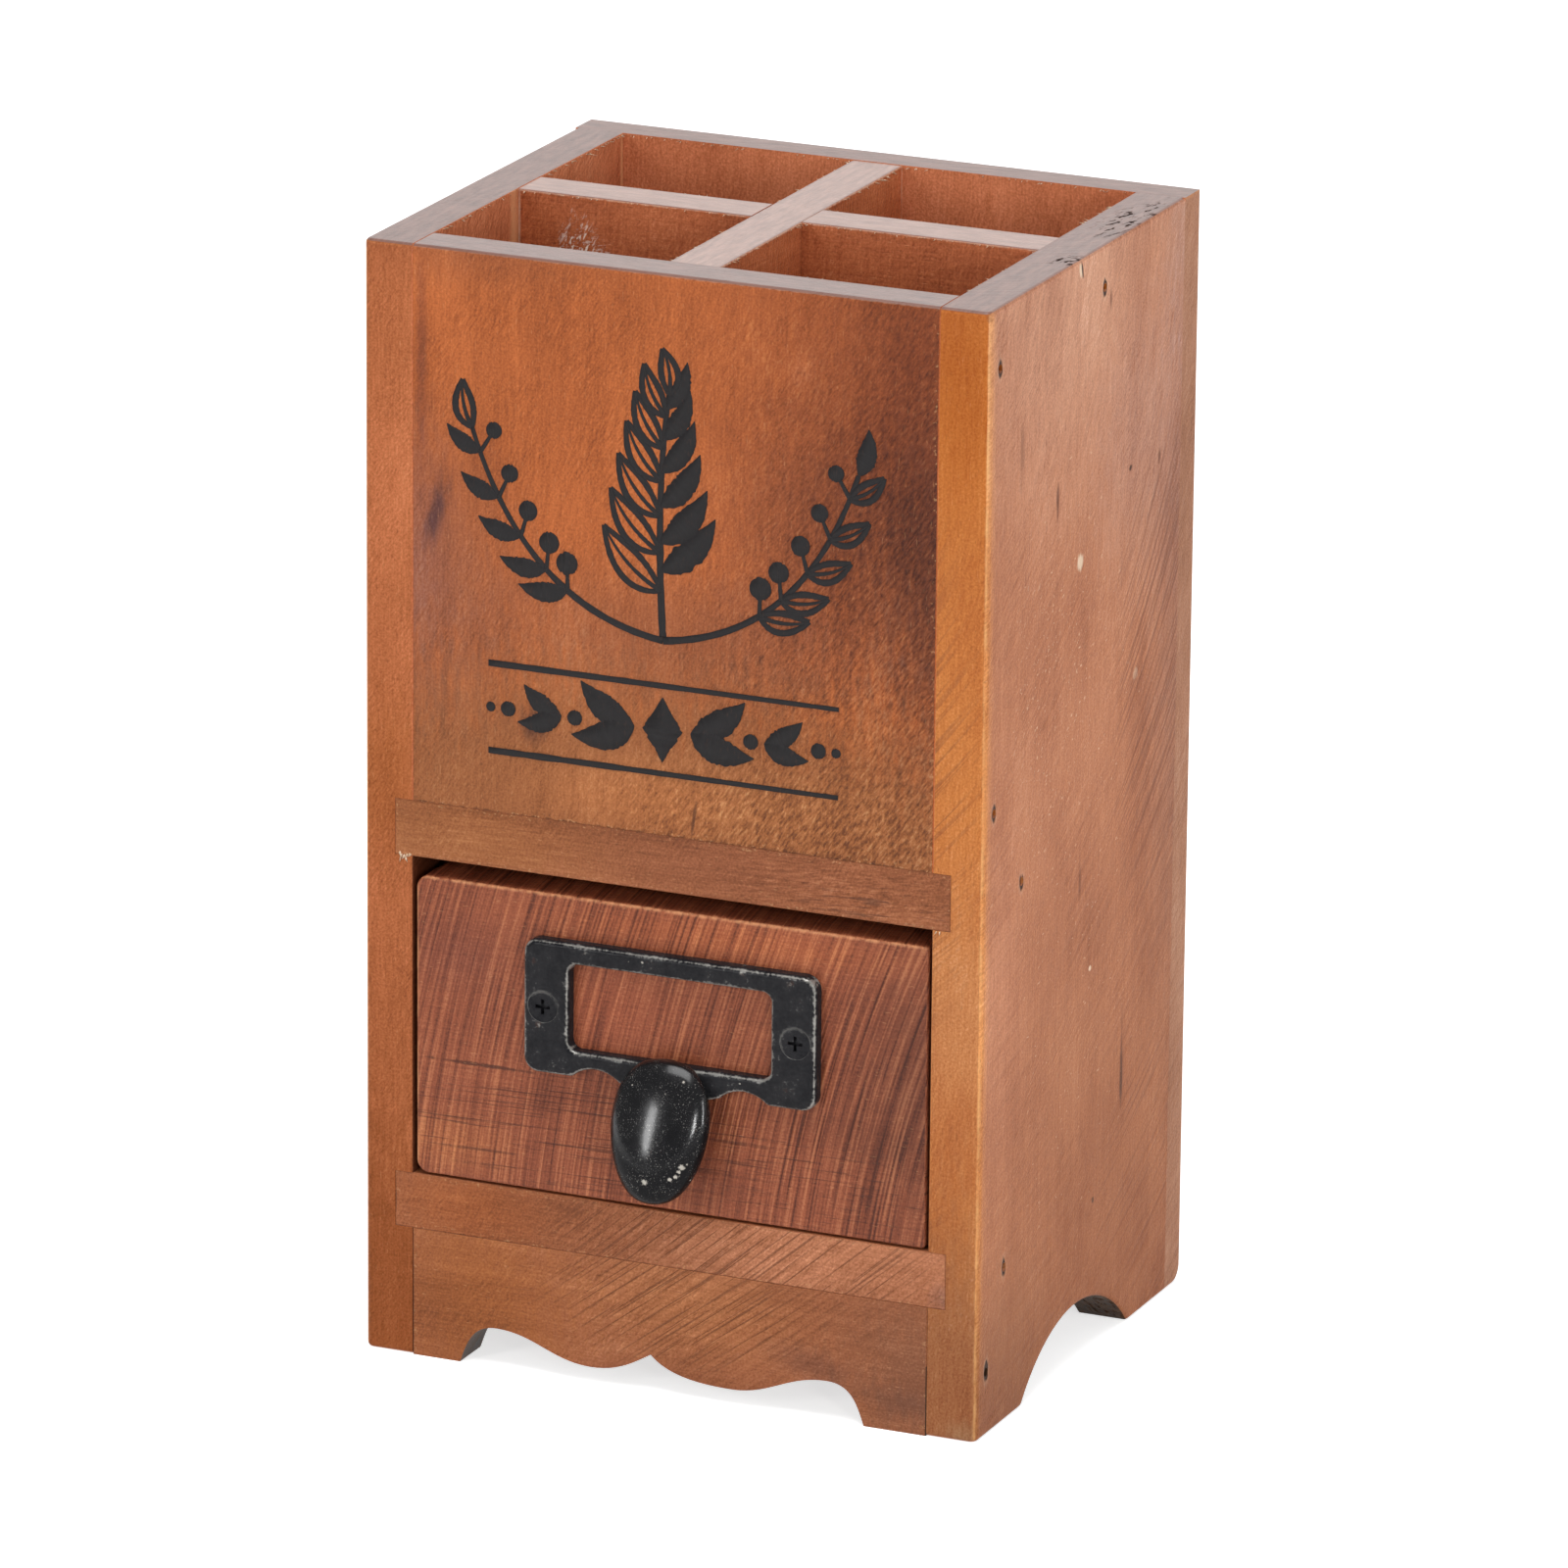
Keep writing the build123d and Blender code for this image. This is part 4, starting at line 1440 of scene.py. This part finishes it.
@dataclass
class Drawer:
    """The sliding drawer: its front, sides, back, bottom and the fittings on it.

    Attributes:
        seed: moves the patterns of all boards.
        plate: how far before the drawer front the pull stands clear of its plate.
    """

    seed: float = 90.0
    plate: float = 2.5

    RED = ((88, 43, 28), (130, 68, 45), (154, 86, 58), (184, 114, 78))
    RAW = ((126, 84, 54), (160, 112, 74), (184, 136, 94), (204, 160, 116))
    PULL_CHIPS = (
        (0.9, 40.6, 0.5),
        (6.7, 43.4, 0.45),
        (5.9, 41.9, 0.4),
        (5.0, 41.4, 0.3),
        (6.3, 42.7, 0.3),
    )

    def build(self) -> None:
        """Dresses the drawer's boards, the casting and its screws."""
        self._front()
        for number, node in enumerate(("drawer_left_side", "drawer_right_side", "drawer_back")):
            finish = WoodFinish(
                Grain.ACROSS if node == "drawer_back" else Grain.DEEP,
                self.RAW,
                seed=self.seed + 9 + 5 * number,
                streaks=(Streaks(84, 12.0, 0.35, 0.25, 0.02),),
                wear=Wear((Face.LEFT, Face.RIGHT, Face.TOP), (226, 196, 156), 0.4, 0.5),
            )
            dress_board(node, finish)
        ply = WoodFinish(Grain.DEEP, self.RAW, seed=self.seed + 31, figure=0.4, pores=0.2)
        dress_board("drawer_bottom", ply, "ply")
        self._fittings()

    def _fittings(self) -> None:
        """The casting and its screws, with rubbed rims round the screw heads and a painted highlight on
        their upper half.
        """
        low, high = node_box("label_pull_screws")
        radius = float(high[2] - low[2]) / 2
        middle = float(low[2]) + radius
        heads = ((float(low[0]) + radius, middle), (float(high[0]) - radius, middle))
        iron = BlackIron(
            shine=0.75,
            plate=float(node_box("drawer_front")[0][1]) - self.plate,
            dust=0.9,
            heads=heads,
            head_radius=radius,
            chips=self.PULL_CHIPS,
        )
        dress("label_pull", iron.material("label_pull_iron"))
        screws = replace(iron, plate=-FAR, shine=0.0, dust=0.0, roughness=0.3, specks=0.02, chips=())
        dress("label_pull_screws", screws.material("screw_iron", 6.0))

    def _front(self) -> None:
        """The drawer front: steep saw lines in wide arcs, crossed below by dark scratches."""
        saw = (240.0, 0.0)
        scratch = (66, 34, 24)
        lines = Streaks(78, 26.0, 0.45, 0.66, 0.12, detail=1.0, centre=saw)
        finish = WoodFinish(
            Grain.ACROSS,
            self.RED,
            seed=self.seed,
            cloud=0.18,
            figure=0.08,
            streaks=(
                lines,
                replace(lines, width=0.6, tone=0.7, place=Patch(34, 50, 44, 44, ragged=0.2)),
                Streaks(78, 60.0, 1.4, 0.12, 0.02, detail=1.0, centre=saw),
            ),
            scores=(
                Scores(Patch(-16, 43, 46, 13, soft=0.6), 1, 24.0, 0.4, 0.12, 0.7, scratch),
                Scores(Patch(22, 40, 40, 11, soft=0.6), 1, 16.0, 0.4, 0.16, 0.6, scratch),
                Scores(Patch(0, 70, 60, 16), 1, 14.0, 0.4, 0.3, 0.4, scratch),
            ),
            stains=(
                Stain(Patch(46, 58, 24, 44), (106, 58, 40), 0.8),
                Stain(Patch(-39, 38, 16, 8), (168, 98, 60), 0.6),
                Stain(Patch(-38, 71, 14, 10), (118, 62, 46), 0.6),
                Stain(Patch(-14, 64, 20, 14), (158, 84, 56), 0.5),
                Stain(Patch(10, 80, 50, 5), (172, 94, 56), 0.6),
                Stain(Patch(30, 50, 20, 8), (112, 58, 38), 0.4),
                Stain(Patch(-34, 52.3, 13, 0.4, ragged=0.8, soft=0.6), (76, 40, 28), 0.85, opaque=True),
            ),
            wear=Wear((Face.LEFT, Face.FRONT, Face.TOP), (226, 160, 112), 0.42, 0.75),
            gloss=Gloss(0.44, 0.12, 0.04),
        )
        dress_board("drawer_front", finish, "wood_red")


@dataclass(frozen=True)
class PaleFibre:
    """Bare torn wood: pale, dull and uneven.

    Attributes:
        dark: colour of its darker places.
        pale: colour of its paler places.
        roughness: mean roughness.
    """

    dark: Rgb = (186, 140, 100)
    pale: Rgb = (240, 218, 192)
    roughness: float = 0.7

    CELLS = (1.3, 1.3, 1.3)
    CONTRAST = 1.2
    HEIGHT = 0.03

    def material(self, name: str) -> bpy.types.Material:
        """Makes the material: two pale colours mixed by fine noise."""
        fibre = Surface(name)
        patch = fibre.mottle(self.CELLS, 4.0, 3.0, 0.6)
        return fibre.finish(
            {
                "Base Color": fibre.mix(patch * self.CONTRAST + 0.5, self.dark, self.pale),
                "Roughness": self.roughness + patch * 0.1,
                "Specular IOR Level": 0.2,
                "Normal": fibre.bump(patch * self.HEIGHT),
            }
        )


@dataclass
class Splinters:
    """Torn fibres: fuzz along the inner edges of the rim, and chips beside the drawer opening.

    Attributes:
        spacing: mean distance between two fibres along an edge.
        reach: longest fibre of the fuzz.
        thick: largest half thickness of a fibre.
        chip: longest chip beside the opening.
        seed: start of the random draws.

    The fuzz starts INSET behind its edge and SUNK below it, is at least SHORTEST long, and leans by
    LEAN times its reach, less up and down than sideways. A chip starts CHIP_ASIDE of the opening
    and CHIP_RISE above the rail's lower face, and ends a fall below, a sway aside and CHIP_OUT
    before its start.
    """

    spacing: float = 1.1
    reach: float = 1.0
    thick: float = 0.16
    chip: float = 1.3
    seed: int = 5

    WIDEST = {"rim_fuzz": 1.0, "opening_chips": 2.2}
    INSET = 0.25
    SUNK = (0.0, 0.0, 0.3)
    SHORTEST = 0.3
    LEAN = 0.3
    FLATTEN = (1.0, 1.0, 0.5)
    CHIP_COUNTS = {-1: 7, 1: 2}
    CHIP_ASIDE = (0.2, 2.4)
    CHIP_RISE = (-0.2, 0.7)
    CHIP_FALL = (0.3, 1.0)
    CHIP_SWAY = (-0.6, 0.6)
    CHIP_INSET = 0.05
    CHIP_OUT = 0.28
    ASKEW = (0.3, 0.5, 0.8)

    def build(self) -> None:
        """Makes the fuzz and the chips as two pieces that ride on the carcass."""
        random = np.random.default_rng(self.seed)
        material = PaleFibre().material("torn_fibre_pale")
        fibres = {"rim_fuzz": self._fuzz(random), "opening_chips": self._chips(random)}
        for name, (roots, tips) in fibres.items():
            half = self.thick * random.uniform(0.5, self.WIDEST[name], len(roots))
            points, faces = self._slivers(roots, tips, half)
            piece = mesh_piece(name, points, faces)
            piece.data.materials.append(material)
            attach(piece, "carcass")

    def _fuzz(self, random: np.random.Generator) -> tuple[np.ndarray, np.ndarray]:
        """Fibres from the inner top edges, each leaning out over its compartment.

        An edge runs from start to end; a fibre starts at a random place on it and reaches a random
        way along the edge's outward direction, a little to one side and a little up or down.
        """
        front, back = node_box("front_panel"), node_box("back_panel")
        cross, long = node_box("cross_divider"), node_box("long_divider")
        inner, near, far = float(front[1][0]), front[1][1], back[0][1]
        rim, low = float(front[1][2]), float(cross[1][2])
        across = ((near, rim, 1), (far, rim, -1), (cross[0][1], low, -1), (cross[1][1], low, 1))
        deep = ((long[0][0], low, -1), (long[1][0], low, 1), (-inner, rim, 1), (inner, rim, -1))
        edges = [((-inner, y, z), (inner, y, z), (0, way, 0)) for y, z, way in across]
        edges += [((x, near, z), (x, far, z), (way, 0, 0)) for x, z, way in deep]
        roots, tips = [], []
        for start, end, way in (tuple(np.array(part, dtype=float) for part in edge) for edge in edges):
            count = int(np.linalg.norm(end - start) / self.spacing)
            share = random.uniform(0.01, 0.99, (count, 1))
            root = start + share * (end - start) - self.INSET * way - self.SUNK
            lean = random.normal(0, self.LEAN, (count, 3)) * self.reach
            length = self.SHORTEST + self.reach * random.uniform(0, 1, (count, 1)) ** 2
            roots.append(root)
            tips.append(root + length * way + lean * self.FLATTEN)
        return np.concatenate(roots), np.concatenate(tips)

    def _chips(self, random: np.random.Generator) -> tuple[np.ndarray, np.ndarray]:
        """Chips that hang from the lower corners of the upper rail, at both ends of the opening."""
        rail = node_box("compartment_floor")
        inner = float(node_box("front_panel")[1][0])
        roots, tips = [], []
        for side, count in self.CHIP_COUNTS.items():
            aside = side * (inner + random.uniform(*self.CHIP_ASIDE, count))
            rise = rail[0][2] + random.uniform(*self.CHIP_RISE, count)
            fall = random.uniform(*self.CHIP_FALL, count) * self.chip
            sway = random.uniform(*self.CHIP_SWAY, count)
            root = np.stack([aside, np.full(count, rail[0][1] + self.CHIP_INSET), rise], -1)
            roots.append(root)
            tips.append(root + np.stack([sway, np.full(count, -self.CHIP_OUT), -fall], -1))
        return np.concatenate(roots), np.concatenate(tips)

    def _slivers(
        self, roots: np.ndarray, tips: np.ndarray, half: np.ndarray
    ) -> tuple[np.ndarray, np.ndarray]:
        """Closed slivers: a ring of three points at a third of the way, joined to root and tip.

        The ring lies square to the way; ASKEW, along which no fibre runs, gives its first direction.

        Args:
            roots: first ends, shaped (slivers, 3).
            tips: last ends, shaped (slivers, 3).
            half: half thickness of each sliver.

        Returns:
            Points and three-cornered faces.
        """
        way = tips - roots
        side = np.cross(way, self.ASKEW)
        side /= np.linalg.norm(side, axis=1, keepdims=True)
        over = np.cross(way, side)
        over /= np.linalg.norm(over, axis=1, keepdims=True)
        turn = np.radians([0, 120, 240])[None, :, None]
        around = np.cos(turn) * side[:, None] + np.sin(turn) * over[:, None]
        ring = (roots + way / 3)[:, None] + half[:, None, None] * around
        points = np.concatenate([roots[:, None], ring, tips[:, None]], 1)
        corners = np.array([[0, 2, 1], [0, 3, 2], [0, 1, 3], [4, 1, 2], [4, 2, 3], [4, 3, 1]])
        faces = 5 * np.arange(len(roots))[:, None, None] + corners
        return points.reshape(-1, 3), faces.reshape(-1, 3)


class Stroke:
    """Ink strokes that share one number of steps: paths and half widths as whole arrays.

    TAPER is how much a line thins to its end, CURL how many radians a leaf turns by, and BELLY
    under 1 moves a leaf's widest place to its root. UNEVEN is the spread of the half widths.
    """

    STEPS = 29
    SEED = 3
    LEVEL = 0.001
    UNEVEN = 0.05
    TAPER = 0.35
    CURL = 0.35
    BELLY = 0.85

    def __init__(self) -> None:
        """Starts with no strokes."""
        self.paths: list[np.ndarray] = []
        self.widths: list[np.ndarray] = []

    @classmethod
    def steps(cls) -> np.ndarray:
        """Shares of the way along a stroke, from 0 to 1."""
        return np.linspace(0.0, 1.0, cls.STEPS)

    def add(self, paths: np.ndarray, widths: np.ndarray) -> None:
        """Adds strokes.

        Args:
            paths: places, shaped (strokes, steps, 2).
            widths: half widths, shaped (strokes, steps).
        """
        self.paths.append(paths)
        self.widths.append(np.broadcast_to(widths, paths.shape[:2]))

    def line(
        self, start: Sequence[float], bend: Sequence[float], end: Sequence[float], width: float
    ) -> np.ndarray:
        """Adds a curved line: a quadratic curve from start to end that leans towards bend.

        Args:
            start: first place.
            bend: place that draws the curve.
            end: last place.
            width: half width, thinned towards the end.

        Returns:
            The path, shaped (steps, 2).
        """
        t = self.steps()[:, None]
        path = (1 - t) ** 2 * np.array(start) + 2 * t * (1 - t) * np.array(bend) + t**2 * np.array(end)
        self.add(path[None], width * (1.0 - self.TAPER * self.steps()))
        return path

    def leaves(
        self,
        roots: np.ndarray,
        angles: np.ndarray,
        lengths: np.ndarray,
        plump: float,
        solid: bool,
        pen: float,
    ) -> None:
        """Adds leaves.

        A leaf's rib runs from its root and turns a little as it goes; its half width is plump
        times its length times the sine of a half turn, which is 0 at the root and the tip.
        A solid leaf is one wide stroke, and an outlined one has two borders and a rib.

        Args:
            roots: places of the roots, shaped (leaves, 2).
            angles: directions in radians.
            lengths: lengths of the leaves.
            plump: half width as a share of the length.
            solid: whether the leaf is filled.
            pen: half width of an outline.
        """
        t = self.steps()[None, :]
        turn = angles[:, None] + self.CURL * np.sign(np.cos(angles))[:, None] * (t - 0.5)
        along = np.stack([np.cos(turn), np.sin(turn)], -1)
        square = np.stack([-np.sin(turn), np.cos(turn)], -1)
        rib = roots[:, None, :] + (lengths[:, None] * t)[..., None] * along
        half = plump * lengths[:, None] * np.sin(np.pi * t**self.BELLY)
        if solid:
            self.add(rib, half + 0.1 * pen)
            return
        for side in (-1, 1):
            self.add(rib + side * half[..., None] * square, pen * (0.7 + 0.3 * np.sin(np.pi * t)))
        self.add(rib, pen * (0.75 - 0.45 * t))

    def discs(self, middles: np.ndarray, radii: np.ndarray) -> None:
        """Adds filled discs: straight strokes whose half width follows a circle."""
        reach = np.cos(np.pi * (1 - self.steps()))[None, :] * radii[:, None]
        paths = middles[:, None, :] + np.stack([reach, np.zeros_like(reach)], -1)
        self.add(paths, np.sqrt(np.maximum(radii[:, None] ** 2 - reach**2, 0.0)))

    def solids(self, back: float, front: float) -> tuple[np.ndarray, np.ndarray]:
        """Carries a flat box section along every stroke.

        Each stroke's front lies a hair before the last one's, so that no two share a plane.

        Args:
            back: Y of the hidden side.
            front: Y of the visible side.

        Returns:
            Points and four-cornered faces of closed solids.
        """
        path = np.concatenate(self.paths)
        uneven = np.random.default_rng(self.SEED).normal(1.0, self.UNEVEN, path.shape[:2] + (1,))
        half = np.concatenate(self.widths)[..., None] * uneven
        level = front - self.LEVEL * np.arange(len(path))[:, None] * np.ones(path.shape[1])
        way = np.gradient(path, axis=1)
        way /= np.maximum(np.linalg.norm(way, axis=-1, keepdims=True), 1e-9)
        square = np.stack([-way[..., 1], way[..., 0]], -1)
        left, right = path + half * square, path - half * square
        deep = np.full(level.shape, back)
        corners = [(left, level), (left, deep), (right, deep), (right, level)]
        ring = np.stack([np.stack([side[..., 0], y, side[..., 1]], -1) for side, y in corners], 2)
        strokes, steps = ring.shape[:2]
        number = np.arange(strokes * steps * 4).reshape(strokes, steps, 4)
        following = np.roll(number, -1, axis=2)
        walls = np.stack([number[:, :-1], following[:, :-1], following[:, 1:], number[:, 1:]], -1)
        first = number[:, 0, ::-1]
        last = number[:, -1, :]
        faces = np.concatenate([walls.reshape(-1, 4), first, last])
        return ring.reshape(-1, 3), faces


@dataclass
class PrintedSprigs:
    """Black print on the front panel: three leafy sprigs, and an ornament between two rules.

    Attributes:
        middle: X of the print's middle.
        foot: height of the sprigs' foot.
        tall: height of the middle sprig.
        reach: how far the outer sprigs reach sideways.
        pen: half width of a line.
        ornament: height of the ornament's middle.
        rule: half length of a rule.
        rule_gap: distance of each rule from the ornament's middle.
        coat: thickness of the ink.
    """

    middle: float = -1.5
    foot: float = 129.0
    tall: float = 48.0
    reach: float = 34.0
    pen: float = 0.56
    ornament: float = 114.0
    rule: float = 31.0
    rule_gap: float = 7.4
    coat: float = 0.05

    # half widths of leaves as shares of their length
    SLIM = 0.17
    MEDIUM = 0.19
    PLUMP = 0.2

    def build(self) -> None:
        """Draws the strokes, makes them one mesh and lets it ride on the carcass."""
        strokes = Stroke()
        self._middle_sprig(strokes)
        self._outer_sprig(strokes, -1)
        self._outer_sprig(strokes, 1)
        self._ornament(strokes)
        front = float(node_box("front_panel")[0][1])
        points, faces = strokes.solids(front + self.coat, front - self.coat)
        piece = mesh_piece("front_print", points, faces)
        piece.data.materials.append(Ink().material("print_ink"))
        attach(piece, "carcass")

    def _middle_sprig(self, strokes: Stroke) -> None:
        """The upright sprig: pairs of leaves that shorten upwards, outlined left, filled right."""
        pairs, first, last = 6, 0.2, 0.9
        spread, closing = 62.0, 30.0
        longest, shortening, top_leaf = 15.5, 7.0, 7.5
        bend = (self.middle - 1.6, self.foot + self.tall / 2)
        end = (self.middle + 0.8, self.foot + self.tall * 0.86)
        stem = strokes.line((self.middle, self.foot), bend, end, 1.2 * self.pen)
        share = np.linspace(first, last, pairs)
        for side, solid, shift in ((-1, False, 0.0), (1, True, 0.05)):
            place = np.minimum(share + shift, 1.0)
            roots = stem[(place * (Stroke.STEPS - 1)).astype(int)]
            angles = np.pi / 2 - side * np.radians(spread - closing * place)
            strokes.leaves(roots, angles, longest - shortening * place, self.SLIM, solid, self.pen)
        upright = np.array([np.pi / 2 - 0.01])
        strokes.leaves(stem[-1:], upright, np.array([top_leaf]), self.PLUMP, False, self.pen)

    def _outer_sprig(self, strokes: Stroke, side: int) -> None:
        """An arching sprig with leaves outside and berries on stalks inside."""
        count, first, last = 5, 0.4, 0.93
        leaf_turn, berry_turn = 0.75, 0.95
        longest, shortening, top_leaf = 10.0, 3.0, 8.0
        stalk, largest, smallest = 4.6, 1.9, 1.4
        start = np.array([self.middle, self.foot])
        bend = start + (side * self.reach * 0.72, self.tall * 0.06)
        end = start + (side * self.reach, self.tall * 0.66)
        stem = strokes.line(start, bend, end, 1.1 * self.pen)
        share = np.linspace(first, last, count)
        number = (share * (Stroke.STEPS - 1)).astype(int)
        roots = stem[number]
        way = roots - stem[number - 1]
        heading = np.arctan2(way[:, 1], way[:, 0])
        lengths = longest - shortening * share
        strokes.leaves(roots, heading - side * leaf_turn, lengths, self.MEDIUM, side < 0, self.pen)
        inward = heading + side * berry_turn
        tips = roots + stalk * np.stack([np.cos(inward), np.sin(inward)], -1)
        for root, tip in zip(roots, tips):
            strokes.line(root, (root + tip) / 2, tip, 0.7 * self.pen)
        strokes.discs(tips, np.linspace(largest, smallest, count))
        strokes.leaves(stem[-1:], heading[-1:], np.array([top_leaf]), self.PLUMP, side > 0, self.pen)

    def _ornament(self, strokes: Stroke) -> None:
        """A lozenge with leaves and dots to both sides, between two rules."""
        tall, half_width = 11.0, 3.4
        leaf_roots, leaf_lengths = np.array([[5.0, 0.0], [18.0, 0.0]]), np.array([11.5, 8.0])
        dots, radii = np.array([[15.6, 0.0], [27.5, 0.0], [30.6, 0.0]]), np.array([1.3, 1.3, 0.8])
        centre = np.array([self.middle, self.ornament])
        t = Stroke.steps()
        upright = centre + np.stack([np.zeros_like(t), tall * (t - 0.5)], -1)
        strokes.add(upright[None], (half_width * (1 - np.abs(2 * t - 1)))[None])
        for side in (-1, 1):
            heading = 0.0 if side > 0 else np.pi
            for lift in (0.42, -0.42):
                angles = np.full(len(leaf_roots), heading) + side * lift
                roots = centre + leaf_roots * (side, 1)
                strokes.leaves(roots, angles, leaf_lengths, self.PLUMP, True, self.pen)
            strokes.discs(centre + dots * (side, 1), radii)
        for side in (-1, 1):
            height = self.ornament + side * self.rule_gap
            start, end = (self.middle - self.rule, height), (self.middle + self.rule, height)
            strokes.line(start, (self.middle, height), end, self.pen)


@dataclass
class Studio:
    """White floor, soft light and the camera.

    Attributes:
        camera: place of the camera.
        azimuth: degrees that the camera stands to the right of the front.
        elevation: degrees that it looks down by.
        roll: degrees that the picture is turned by.
        lens: focal length for a sensor 36 mm wide.
        ambient: strength of the light from all round.
        back_light: how much of it is added behind the object.
        front_mirror: brightness of the dark room in front, as reflections show it.
        floor_glow: light that the floor adds where the camera or a reflection sees it.
    """

    camera: tuple[float, float, float] = (745.07, -1697.66, 666.09)
    azimuth: float = 23.609
    elevation: float = 17.1416
    roll: float = 0.519
    lens: float = 270.15
    ambient: float = 0.31
    back_light: float = 1.1
    front_mirror: float = 0.2
    floor_glow: float = 0.68

    LAMPS = (
        ("key_lamp", (-600, -1300, 520), (200, 520), 4.75),
        ("right_lamp", (1350, -300, 420), (120, 560), 3.85),
        ("edge_lamp", (914, -998, 420), (75, 300), 3.0),
        ("top_lamp", (0, -300, 1350), (800, 800), 10.2),
    )
    TARGET = (0, 0, 100)
    WHITE = (1.0, 1.0, 1.0, 1.0)
    FLOOR_WHITE = (0.82, 0.82, 0.82, 1.0)
    FLOOR_REACH = 6000.0
    SENSOR = 36.0
    CLIP_END = 50.0
    # the world's light from the side and its gain from above, and the levels at which parts start
    SIDE_LIGHT = 0.8
    SKY_LIGHT = 0.7
    SKY_AT = (0.0, 0.9)
    BEHIND_AT = (0.2, 0.9)
    MIRROR_AT = (0.2, 0.75)

    def build(self) -> None:
        """Makes the world, the floor, the lamps and the camera."""
        bpy.context.scene.view_settings.view_transform = "Standard"
        self._world()
        self._floor()
        for lamp in self.LAMPS:
            self._lamp(*lamp)
        self._camera()

    @staticmethod
    def _seen_directly(graph: Graph) -> Value:
        """1 for rays from the camera, a reflection or glass, and 0 for light on a surface."""
        path = graph.node("ShaderNodeLightPath", output="Is Camera Ray")
        mirror = graph.most(path.output("Is Glossy Ray"), path.output("Is Transmission Ray"))
        return graph.most(path, mirror)

    def _world(self) -> None:
        """White where it is seen, and a soft light elsewhere, stronger from above and behind."""
        world = bpy.data.worlds.new("studio_world")
        world.use_nodes = True
        bpy.context.scene.world = world
        graph = Graph(world.node_tree)
        path = graph.node("ShaderNodeLightPath", output="Is Camera Ray")
        seen = graph.most(path, path.output("Is Transmission Ray"))
        glossy = path.output("Is Glossy Ray")
        towards = graph.node("ShaderNodeSeparateXYZ", inputs={0: graph.node("ShaderNodeTexCoord")})
        back, up = towards.output("Y"), towards.output("Z")
        mirrored = self.front_mirror + (1 - self.front_mirror) * back.smooth(*self.MIRROR_AT)
        behind = back.smooth(*self.BEHIND_AT) * self.back_light
        light = self.ambient * (self.SIDE_LIGHT + up.smooth(*self.SKY_AT) * self.SKY_LIGHT + behind)
        unseen = light + glossy * (mirrored - light)
        strength = unseen + seen * (1 - unseen)
        white = graph.node("ShaderNodeBackground", inputs={"Color": self.WHITE, "Strength": strength})
        graph.node("ShaderNodeOutputWorld", inputs={"Surface": white})

    def _floor(self) -> None:
        """A wide white floor that keeps the shadow: a plane of diffuse white with a glow."""
        corners = np.array([[-1, -1, 0], [1, -1, 0], [1, 1, 0], [-1, 1, 0]]) * self.FLOOR_REACH
        floor = mesh_piece("studio_floor", corners, np.array([[0, 1, 2, 3]]))
        surface = Surface("floor_white")
        seen = self._seen_directly(surface)
        diffuse = surface.node("ShaderNodeBsdfDiffuse", inputs={"Color": self.FLOOR_WHITE})
        glow = surface.node(
            "ShaderNodeEmission", inputs={"Color": self.WHITE, "Strength": seen * self.floor_glow}
        )
        both = surface.node("ShaderNodeAddShader", inputs={0: diffuse, 1: glow})
        surface.node("ShaderNodeOutputMaterial", inputs={"Surface": both})
        floor.data.materials.append(surface.material)

    def _lamp(
        self, name: str, place: tuple[float, float, float], size: tuple[float, float], power: float
    ) -> None:
        """Adds a soft lamp that points at the middle of the object.

        Args:
            name: name of the lamp.
            place: where it hangs.
            size: its width and height.
            power: its power in watts.
        """
        light = bpy.data.lights.new(name, "AREA")
        light.shape = "RECTANGLE"
        light.size = size[0] * MM
        light.size_y = size[1] * MM
        light.energy = power
        lamp = bpy.data.objects.new(name, light)
        lamp.location = Vector(place) * MM
        aim = Vector(self.TARGET) * MM - lamp.location
        lamp.rotation_euler = aim.to_track_quat("-Z", "Y").to_euler()
        bpy.context.scene.collection.objects.link(lamp)

    def _camera(self) -> None:
        """Places the camera: its axes follow from azimuth, elevation and roll."""
        azimuth, elevation, roll = (math.radians(a) for a in (self.azimuth, self.elevation, self.roll))
        back = Vector(
            (
                math.sin(azimuth) * math.cos(elevation),
                -math.cos(azimuth) * math.cos(elevation),
                math.sin(elevation),
            )
        )
        level = Vector((math.cos(azimuth), math.sin(azimuth), 0))
        upward = back.cross(level)
        right = level * math.cos(roll) + upward * math.sin(roll)
        up = back.cross(right)
        data = bpy.data.cameras.new("photo_camera")
        data.lens = self.lens
        data.sensor_width = self.SENSOR
        data.clip_end = self.CLIP_END
        camera = bpy.data.objects.new("photo_camera", data)
        turn = Matrix((right, up, back)).transposed().to_4x4()
        camera.matrix_world = Matrix.Translation(Vector(self.camera) * MM) @ turn
        bpy.context.scene.collection.objects.link(camera)
        bpy.context.scene.camera = camera


def main() -> None:
    """Builds the sub-assemblies in order."""
    logging.basicConfig(level=logging.INFO, format="%(message)s")
    Carcass().build()
    Drawer().build()
    Splinters().build()
    PrintedSprigs().build()
    Studio().build()


if __name__ == "__main__":
    main()
